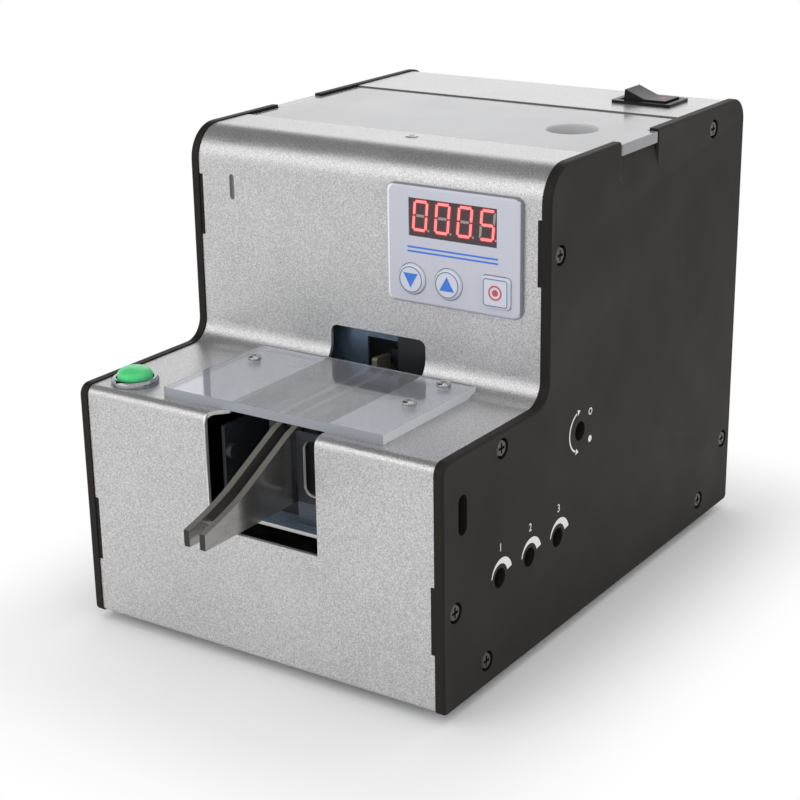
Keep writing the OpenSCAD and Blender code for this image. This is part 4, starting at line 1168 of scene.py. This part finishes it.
@dataclass
class Keypad(Assembly):
    """A film keypad with a four-digit display, two arrow keys and a square key.

    Places with dx and dz are from the middle of the plate.

    Attributes:
        middle: Middle of the plate, as x and z.
        face: Front of the plate, as y.
        border: Rounding of the plate's outline.
        hole_ease: Rounding of the edges of its holes.
        hole_turn: Turn in degrees over which those edges are rounded.
        inside: Half width and half height of the part of the plate that has the holes.
        rim_lean: Shares of left and front over which a face is of the rounding down the left side.
        wall_lean: Shares of across and up over which a face is of the side walls.
        window_y: Front of the display, as y.
        digits: What the display shows.
        digits_dx: Places of the digits.
        digits_dz: Height of the digits' middle.
        digit_size: Width and height of a digit between the middles of its bars.
        slant: Lean of the digits in degrees.
        bar: Length and width of a display bar.
        spill: How much longer and wider its light is.
        lit_rise: How far a lit bar stands in front of its light.
        point_r: Radius of the point beside a digit.
        point_at: Place of the point from the digit's middle, as x and z.
        keys_dx: Places of the keys.
        keys_dz: Height of the keys' middle.
        key_ring: Inner radius and growth of the ring round an arrow.
        arrow_r: Radius of an arrow's corners.
        arrow_shift: How far an arrow stands from the key's middle, against its point.
        mark_in: How deep the arrow and the ring are set in a key's dome.
        square: Side, corner radius and line of the square key's outline.
        square_ring: Inner radius and growth of the ring on the square key.
        square_dot: Radius of the dot in that ring.
        rule: Length, width and corner radius of a line under the display.
        rules_dz: Heights of the two lines.
    """

    middle: Pair = (33.2, 116.8)
    face: float = 55.6
    border: float = 1.1
    hole_ease: float = 0.25
    hole_turn: float = 40.0
    inside: Pair = (20.0, 16.2)
    rim_lean: Pair = (0.1, 0.2)
    wall_lean: Pair = (0.75, 0.6)
    window_y: float = 56.0
    digits: str = "0005"
    digits_dx: Sequence[float] = (-11.1, -3.5, 4.1, 11.7)
    digits_dz: float = 8.9
    digit_size: Pair = (4.25, 8.5)
    slant: float = 5.0
    bar: Pair = (3.95, 0.8)
    spill: float = 0.7
    lit_rise: float = 0.04
    point_r: float = 0.36
    point_at: Pair = (2.75, -4.2)
    keys_dx: Sequence[float] = (-13.9, -1.3, 15.1)
    keys_dz: float = -10.3
    key_ring: Pair = (3.68, 1.075)
    arrow_r: float = 2.9
    arrow_shift: float = 0.45
    mark_in: Pair = (0.03, 0.06)
    square: Triple = (8.2, 1.0, 0.3)
    square_ring: Pair = (1.75, 1.28)
    square_dot: float = 1.0
    rule: Triple = (31.0, 0.55, 0.2)
    rules_dz: Pair = (-0.6, -1.9)

    def build(self) -> None:
        """Builds the keypad."""
        self._plate()
        self.paint(SMOKED, "display_module")
        self.paint(BOARD, "keypad_board")
        self._display()
        self._arrow_keys()
        self._square_key()
        rule = Ink.panel(*self.rule)
        lines = [self._print(rule, 0.0, dz, self.face) for dz in self.rules_dz]
        Bench.scrap(rule)
        self.seat(Bench.join(lines), "keypad_rule", "case", BLUE_INK, "keypad_film")

    def _print(self, pattern: Piece, dx: float, dz: float, y: float, turn: float = 0.0) -> Piece:
        """Returns a copy of a flat drawing on the face at y, turned by so many degrees."""
        spot = at(self.middle[0] + dx, y, self.middle[1] + dz)
        return Bench.stand(pattern, Print.FRONT.place(spot, turn))

    def _plate(self) -> None:
        """Rounds the plate well all round and breaks the edges of its holes."""
        obj = Bench.copied("keypad_plate")
        Bench.round_edges(obj, self._on_border, self.border, segments=4)
        Bench.ease(obj, self.hole_ease, angle=self.hole_turn)
        # The left rounding gets a painted highlight and the side walls painted shade.
        finishes(obj, FILM, (HIGHLIT_FILM_RIM, self._on_left_rim), (SHADE_WALL_GREY, self._on_wall))
        self.stand_in(obj, "keypad_plate", FILM)

    def _outside(self, spot: Vector) -> bool:
        """Tells the plate's border from the part that has the holes."""
        across, up = abs(spot.x - self.middle[0]), abs(spot.z - self.middle[1])
        return across > self.inside[0] or up > self.inside[1]

    def _on_border(self, spot: Vector, turn: Vector) -> bool:
        """Tells the front edge of the plate's outline from those of its holes."""
        place = spot - SHIFT
        return turn.length > SHARP and abs(place.y - self.face) < NEAR and self._outside(place)

    def _on_left_rim(self, spot: Vector, normal: Vector) -> bool:
        """Tells the rounding down the plate's left side, which gets a painted highlight."""
        left, front = self.rim_lean
        return self._outside(spot) and normal.x < -left and normal.y < -front

    def _on_wall(self, spot: Vector, normal: Vector) -> bool:
        """Tells the plate's side walls, which get painted shade."""
        across, up = self.wall_lean
        return self._outside(spot) and (abs(normal.x) > across or abs(normal.z) > up)

    def _bars(self) -> dict[str, Triple]:
        """Lays out the bars of a digit.

        Returns:
            The place and turn of each bar by its letter.
        """
        w, h = self.digit_size
        lean = math.tan(math.radians(self.slant))
        stand = 90 - self.slant
        bars = {"a": (0, h / 2, 0), "g": (0, 0, 0), "d": (0, -h / 2, 0)}
        for letter, right, up in (("b", 1, 1), ("c", 1, -1), ("e", -1, -1), ("f", -1, 1)):
            bars[letter] = (right * w / 2, up * h / 4, stand)
        return {letter: (x + z * lean, z, turn) for letter, (x, z, turn) in bars.items()}

    def _display(self) -> None:
        """Builds the bars of the display, lit and unlit, and their points."""
        length, width = self.bar
        core = Ink.bar(length, width)
        spill = Ink.bar(length + self.spill, width + self.spill)
        point = Ink.shape(sides=20, radius=self.point_r)
        lit, glow, unlit = [], [], []
        for digit, dx in zip(self.digits, self.digits_dx):
            for letter, (x, z, turn) in self._bars().items():
                spot = (dx + x, self.digits_dz + z)
                if letter in LIT_BARS[digit]:
                    lit.append(self._print(core, *spot, self.window_y - self.lit_rise, turn))
                    glow.append(self._print(spill, *spot, self.window_y, turn))
                else:
                    unlit.append(self._print(core, *spot, self.window_y, turn))
            spot = (dx + self.point_at[0], self.digits_dz + self.point_at[1])
            unlit.append(self._print(point, *spot, self.window_y))
        Bench.scrap(core, spill, point)
        self.seat(Bench.join(lit), "lit_display_bars", "case", LIT, "display_face")
        self.seat(Bench.join(glow), "display_glow", "case", SPILL, "display_face")
        self.seat(Bench.join(unlit), "unlit_display_bars", "case", UNLIT, "display_face")

    def _arrow_keys(self) -> None:
        """Builds the two round keys with an arrow in a ring on each."""
        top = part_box("down_key")[0][1] / MM - SHIFT.y
        ring = Ink.ring(*self.key_ring)
        arrow = Ink.shape(sides=3, radius=self.arrow_r)
        for key, dx, turn, way in (("down", self.keys_dx[0], 180, 1), ("up", self.keys_dx[1], 0, -1)):
            self.soften(f"{key}_key", DOME, width=0.4, segments=3)
            dz = self.keys_dz + way * self.arrow_shift
            mark = self._print(arrow, dx, dz, top + self.mark_in[0], turn)
            self.seat(mark, f"{key}_arrow", key, BLUE_INK, "key_film")
            rim = self._print(ring, dx, self.keys_dz, top + self.mark_in[1])
            self.seat(rim, f"{key}_ring", key, LINE_INK, "key_film")
        Bench.scrap(ring, arrow)

    def _square_key(self) -> None:
        """Builds the square key with its outline and a dot in a ring."""
        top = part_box("set_key")[0][1] / MM - SHIFT.y
        self.soften("set_key", DOME, width=0.3, segments=3)
        side, corner, line = self.square
        outline = Ink.panel(side, side, corner, line)
        patterns = (Ink.shape(sides=40, radius=self.square_dot), Ink.ring(*self.square_ring))
        spot = (self.keys_dx[2], self.keys_dz, top)
        self.seat(self._print(outline, *spot), "square_key_outline", "set", LINE_INK, "key_film")
        marks = [self._print(pattern, *spot) for pattern in patterns]
        self.seat(Bench.join(marks), "square_key_mark", "set", RED_INK, "key_film")
        Bench.scrap(outline, *patterns)


@dataclass
class Outlet(Assembly):
    """The curved two-plate chute, what carries it behind the mouth, and the clear guard over it.

    Attributes:
        plate_ease: Rounding of the edges of a chute plate.
        milled_lean: Share of up over which a face is of its milled edges.
        bracket_ease: Rounding of the edges of the bracket.
        guard_ease: Rounding of the guard's edges.
        guard_gap: Air film under the guard, which light needs to leave it.
        shelf_top: Height of the top of the bracket's shelf.
        shelf_y: Depth up to which the shelf's front edge reaches.
        foot_z: Height over which the faces are clear of the shelf.
        wall_x: Right side of what stands out from the bracket's left wall.
        upright_y: Front and rear of the bracket's upright, with a little room.
        rim_x: Left and right of the part of the upright that has the window.
        rim_z: Bottom and top of that part.
    """

    plate_ease: float = 0.22
    milled_lean: float = 0.3
    bracket_ease: float = 0.2
    guard_ease: float = 0.3
    guard_gap: float = 0.08
    shelf_top: float = 42.9
    shelf_y: float = 7.0
    foot_z: float = 43.4
    wall_x: float = -11.4
    upright_y: Pair = (8.9, 10.3)
    rim_x: Pair = (11.2, 22.2)
    rim_z: Pair = (50.0, 70.3)

    def build(self) -> None:
        """Builds the outlet."""
        for node in ("chute_left_plate", "chute_right_plate"):
            plate = Bench.ease(Bench.copied(node), self.plate_ease)
            finishes(
                plate,
                GROUND,
                (MILLED, lambda _, normal: normal.z > self.milled_lean),
                (CROPPED, lambda spot, normal: normal.y < -FLAT and spot.y < 0.0),
            )
            self.stand_in(plate, node, GROUND)
        self.paint(GROUND, "chute_bolts")
        self._bracket()
        self.soften("chute_mount", MOULDED, width=0.2)
        self.soften("count_sensor", MOULDED, width=0.2)
        self.soften("escapement_solenoid", MOULDED, width=0.25)
        self.paint(TURNED, "escapement_pin")
        self.soften("guard_screws", SCREW, width=0.14)
        self._guard()

    def _bracket(self) -> None:
        """Eases the bracket and cuts it where the shelf and the window start, so that its painted shade and
        painted highlights keep to their places.
        """
        obj = Bench.ease(Bench.copied("chute_bracket"), self.bracket_ease)
        Bench.whole(obj)
        for height in (self.shelf_top, self.rim_z[0]):
            bpy.ops.mesh.select_all(action="SELECT")
            bpy.ops.mesh.bisect(plane_co=at(0, 0, height), plane_no=(0, 0, 1))
        finishes(
            obj,
            GREY,
            (SHADE_SLATE, lambda spot, _: self.foot_z < spot.z < self.rim_z[0]),
            (DARK_AND_SHADE, self._in_shade),
            (BARE_HIGHLIT, self._on_shelf_edge),
            (HIGHLIT_RIM, self._on_window_rim),
        )
        self.stand_in(obj, "chute_bracket", GREY)

    def _in_upright(self, spot: Vector) -> bool:
        """Tells the faces of the upright."""
        return self.upright_y[0] < spot.y < self.upright_y[1]

    def _in_shade(self, spot: Vector, _: Vector) -> bool:
        """Tells the bracket's left wall and the upper faces of its upright, which take no light."""
        upper = self._in_upright(spot) and spot.z > self.rim_z[0]
        return spot.z >= self.foot_z and (upper or spot.x < self.wall_x)

    def _on_shelf_edge(self, spot: Vector, normal: Vector) -> bool:
        """Tells the bare front edge of the shelf, made paler as a painted highlight."""
        return spot.z < self.shelf_top + ROOM and normal.y < -MOSTLY and spot.y < self.shelf_y

    def _on_window_rim(self, spot: Vector, normal: Vector) -> bool:
        """Tells the rim of the upright's window, which gets a painted highlight."""
        inside = self.rim_x[0] < spot.x < self.rim_x[1] and self.rim_z[0] < spot.z < self.rim_z[1]
        return inside and self._in_upright(spot) and abs(normal.y) < FLAT

    def _guard(self) -> None:
        """Lifts the guard off the step, eases its edges, frosts its sawn sides and paints light on its
        right side.
        """
        obj = Bench.copied("chute_guard")
        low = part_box("chute_guard")[0][2] / MM
        Bench.shift(obj, lambda spot, _: spot.z < low + NEAR, Vector((0, 0, self.guard_gap)))
        Bench.ease(obj, self.guard_ease)
        finishes(
            obj,
            ACRYLIC,
            (SAWN, sawn_sides),
            (LIT_SIDE, lambda _, normal: normal.x > MOSTLY),
            (CLEAN, lambda _, normal: normal.z < -LEVEL),
        )
        self.stand_in(obj, "chute_guard", ACRYLIC)


@dataclass
class Lid(Assembly):
    """The milky lift-off lid over the hopper.

    Attributes:
        ease: Rounding of its edges.
        hole: Middle of its finger hole, as x and y.
        hole_reach: How far from there the hole's wall ends.
    """

    ease: float = 0.35
    hole: Pair = (40.5, 113.5)
    hole_reach: float = 8.5

    def build(self) -> None:
        """Builds the lid."""
        obj = Bench.ease(Bench.copied("hopper_lid"), self.ease)
        finishes(obj, OPAL, (FROSTED, sawn_sides), (FLAMED, self._in_hole))
        self.stand_in(obj, "hopper_lid", OPAL)

    def _in_hole(self, spot: Vector, normal: Vector) -> bool:
        """Tells the wall of the finger hole."""
        away = math.hypot(spot.x - self.hole[0], spot.y - self.hole[1])
        return away < self.hole_reach and sawn_sides(spot, normal)


@dataclass
class Controls(Assembly):
    """The start button, the mains rocker and the trimmers behind the side plate.

    Attributes:
        mark: Width, depth and corner radius of the red mark on the rocker.
        mark_at: Its place on the level half of the paddle.
    """

    mark: Triple = (2.0, 3.8, 0.4)
    mark_at: Triple = (46.3, 165.0, 145.25)

    def build(self) -> None:
        """Builds the controls."""
        self.soften("start_button_body", CHROME, width=0.22, segments=3)
        self.soften("start_button_cap", GREEN, width=0.4, segments=4)
        self.paint(SCREW, "start_button_nut")
        self.soften("rocker_housing", ROCKER, width=0.35, segments=3)
        self.soften("rocker_paddle", ROCKER, width=0.3, segments=3)
        stroke = Ink.panel(*self.mark)
        mark = Bench.stand(stroke, Print.UP.place(at(*self.mark_at)))
        Bench.scrap(stroke)
        self.seat(mark, "rocker_mark", "rocker", PALE_RED_INK, "black_plastic")
        for node in ("speed_trimmer", "vibrator_trimmer", "roller_trimmer"):
            self.soften(node, MOULDED, width=0.12)
        self.paint(BOARD, "trimmer_board")


@dataclass
class Feed(Assembly):
    """Hopper, scoop drum, brush roller, vibrating rail, gate and their drives.

    Attributes:
        ease: Rounding of machined and moulded edges that can be seen.
    """

    ease: float = 0.2

    def build(self) -> None:
        """Builds the feed."""
        for finish, *nodes in (
            (ZINC, "hopper_tub"),
            (MOULDED, "left_scoop_wheel", "right_scoop_wheel", "gate_guide"),
            (MILLED, "feed_rails"),
            (BLUED, "throat_plate"),
            (DARK_AND_SHADE, "lock_gate"),
            (CAN, "roller_motor"),
            (GREY, "roller_motor_bracket", "drum_motor_bracket"),
            (CAST, "rail_carrier", "vibrator_base"),
        ):
            for node in nodes:
                self.soften(node, finish, self.ease)
        self.paint(TURNED, "drum_shaft", "roller_shaft", "lock_gate_spindle", "leaf_springs")
        self.paint(NYLON, "drum_gear", "drum_pinion", "roller_gear")
        self.paint(BRASS, "shaft_bushes", "roller_pinion")
        self.paint(BRISTLE, "brush_roller")
        self.paint(CAN, "drum_motor")
        self.paint(COIL, "vibrator_coil")
        self.paint(BOARD, "main_board")


@dataclass(frozen=True)
class Lamp:
    """A soft rectangular lamp that points at the machine.

    Attributes:
        name: Its name.
        spot: Its place, in metres.
        size: Length of its sides, in metres.
        level: Brightness of its face, where 1 is white.
    """

    name: str
    spot: Triple
    size: Pair
    level: float

    def hang(self, target: Vector) -> None:
        """Adds the lamp.

        Args:
            target: What it points at.
        """
        lamp = Bench.add(bpy.ops.object.light_add, type="AREA", location=self.spot)
        lamp.name = self.name
        lamp.data.shape = "RECTANGLE"
        lamp.data.size, lamp.data.size_y = self.size
        lamp.data.energy = self.level * math.pi * self.size[0] * self.size[1]
        lamp.rotation_euler = (target - Vector(self.spot)).to_track_quat("-Z", "Y").to_euler()


@dataclass
class Studio:
    """Pale floor, soft light and the camera. Its lengths are in metres.

    Attributes:
        eye: Place of the camera.
        ahead: Direction that it looks in.
        right: Direction of the picture's right.
        sensor: Width of the sensor in millimetres.
        lens: Focal length in millimetres.
        sky: Brightness of the even light from all round.
        lamps: The lamps.
        target: What the lamps point at.
        card: Place of the black card that the bends mirror.
        card_size: Its width and height.
        card_target: What it faces.
        floor_size: Length of the floor's sides.
        shadow: Distances from the machine where the floor's shadow starts to fade and is gone.
    """

    eye: Triple = (0.30624, -0.45525, 0.25418)
    ahead: Triple = (-0.52774736, 0.78191926, -0.33179059)
    right: Triple = (0.83165867, 0.55509335, -0.01467036)
    sensor: float = 36.0
    lens: float = 82.02
    sky: float = 0.95
    lamps: Sequence[Lamp] = (
        Lamp("key_softbox", (-0.4, -0.78, 0.6), (1.0, 0.6), 0.8),
        Lamp("back_softbox", (-0.53, 0.8, 0.46), (0.8, 0.4), 0.4),
    )
    target: Triple = (0.0, 0.0, 0.07)
    card: Triple = (-0.46, 0.06, 0.76)
    card_size: Pair = (1.0, 0.9)
    card_target: Triple = (0.0, 0.0, 0.1)
    floor_size: float = 30.0
    shadow: Pair = (0.0, 0.06)

    def build(self) -> None:
        """Sets up the studio."""
        bpy.context.scene.view_settings.view_transform = "Standard"
        self._camera()
        self._floor()
        self._card()
        self._world()
        for lamp in self.lamps:
            lamp.hang(Vector(self.target))

    def _camera(self) -> None:
        """Places the camera where the photograph was taken from."""
        camera = Bench.add(bpy.ops.object.camera_add)
        ahead, right = Vector(self.ahead), Vector(self.right)
        turn = Matrix((right, right.cross(ahead), -ahead)).transposed()
        camera.matrix_world = Matrix.Translation(self.eye) @ turn.to_4x4()
        camera.data.sensor_fit = "HORIZONTAL"
        camera.data.sensor_width = self.sensor
        camera.data.lens = self.lens
        camera.data.clip_start = 0.01
        bpy.context.scene.camera = camera

    @staticmethod
    def _seen(tree: bpy.types.NodeTree) -> bpy.types.NodeSocket:
        """Parts the rays that show a surface from those that only carry its light.

        Args:
            tree: The node tree.

        Returns:
            A socket that is 1 for rays of the camera, of gloss and of glass.
        """
        path = add_node(tree, "ShaderNodeLightPath").outputs
        seen = path["Is Camera Ray"]
        for ray in ("Is Glossy Ray", "Is Transmission Ray"):
            seen = add_node(tree, "ShaderNodeMath", {0: seen, 1: path[ray]}, operation="MAXIMUM").outputs[0]
        return seen

    def _away(self, tree: bpy.types.NodeTree) -> bpy.types.NodeSocket:
        """Returns the distance of a point of the floor from the machine's box.

        Args:
            tree: The floor's node tree.

        Returns:
            The socket with the distance.
        """
        spot = add_node(tree, "ShaderNodeTexCoord").outputs["Object"]
        half = [max(abs(a), abs(b)) for a, b in zip(*CAD_BOX)]
        for step, other in (("ABSOLUTE", None), ("SUBTRACT", half), ("MAXIMUM", ORIGIN)):
            inputs = {0: spot} if other is None else {0: spot, 1: other}
            spot = add_node(tree, "ShaderNodeVectorMath", inputs, operation=step).outputs[0]
        return add_node(tree, "ShaderNodeVectorMath", {0: spot}, operation="LENGTH").outputs["Value"]

    def _floor(self) -> None:
        """Lays a matt white floor that keeps the shadow near the machine and is plain white further off."""
        floor = Bench.add(bpy.ops.mesh.primitive_plane_add, size=self.floor_size)
        floor.name = "floor"
        made = bpy.data.materials.new("matt_white_floor")
        made.use_nodes = True
        tree = made.node_tree
        tree.nodes.clear()
        matt = add_node(tree, "ShaderNodeBsdfDiffuse", {"Color": linear("#f6f6f6")}).outputs[0]
        plain = {"Color": linear("#ffffff"), "Strength": 1.0}
        white = add_node(tree, "ShaderNodeEmission", plain).outputs[0]
        fade = {"Value": self._away(tree), "From Min": self.shadow[0], "From Max": self.shadow[1]}
        far = add_node(tree, "ShaderNodeMapRange", fade, interpolation_type="SMOOTHSTEP").outputs[0]
        both = {0: far, 1: self._seen(tree)}
        share = add_node(tree, "ShaderNodeMath", both, operation="MULTIPLY").outputs[0]
        mixed = add_node(tree, "ShaderNodeMixShader", {0: share, 1: matt, 2: white}).outputs[0]
        add_node(tree, "ShaderNodeOutputMaterial", {"Surface": mixed})
        floor.data.materials.append(made)

    def _card(self) -> None:
        """Hangs a black card that only shows in gloss, for the dark lines along bent metal."""
        card = Bench.add(bpy.ops.mesh.primitive_plane_add, size=1.0, location=self.card)
        card.name = "black_card"
        card.scale = (*self.card_size, 1.0)
        facing = Vector(self.card_target) - Vector(self.card)
        card.rotation_euler = facing.to_track_quat("Z", "Y").to_euler()
        for rays in ("camera", "diffuse", "transmission", "shadow"):
            setattr(card, f"visible_{rays}", False)
        made = bpy.data.materials.new("black_felt")
        made.use_nodes = True
        felt = made.node_tree.nodes["Principled BSDF"].inputs
        felt["Base Color"].default_value = linear("#1c1c1c")
        felt["Roughness"].default_value = 1.0
        card.data.materials.append(made)

    def _world(self) -> None:
        """Lights the studio evenly, with a white background."""
        world = bpy.data.worlds.new("studio")
        bpy.context.scene.world = world
        world.use_nodes = True
        tree = world.node_tree
        tree.nodes.clear()
        ends = {"Value": self._seen(tree), "To Min": self.sky, "To Max": 1.0}
        level = add_node(tree, "ShaderNodeMapRange", ends).outputs[0]
        even = {"Color": linear("#ffffff"), "Strength": level}
        light = add_node(tree, "ShaderNodeBackground", even).outputs[0]
        add_node(tree, "ShaderNodeOutputWorld", {"Surface": light})


def write_sizes() -> None:
    """Updates the view layer."""
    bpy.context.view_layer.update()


def main() -> None:
    """Builds the sub-assemblies in order, then the studio."""
    for group in (Case(), SidePrint(), Keypad(), Outlet(), Lid(), Controls(), Feed()):
        group.build()
    Studio().build()
    bpy.ops.object.select_all(action="DESELECT")
    write_sizes()


if __name__ == "__main__":
    main()
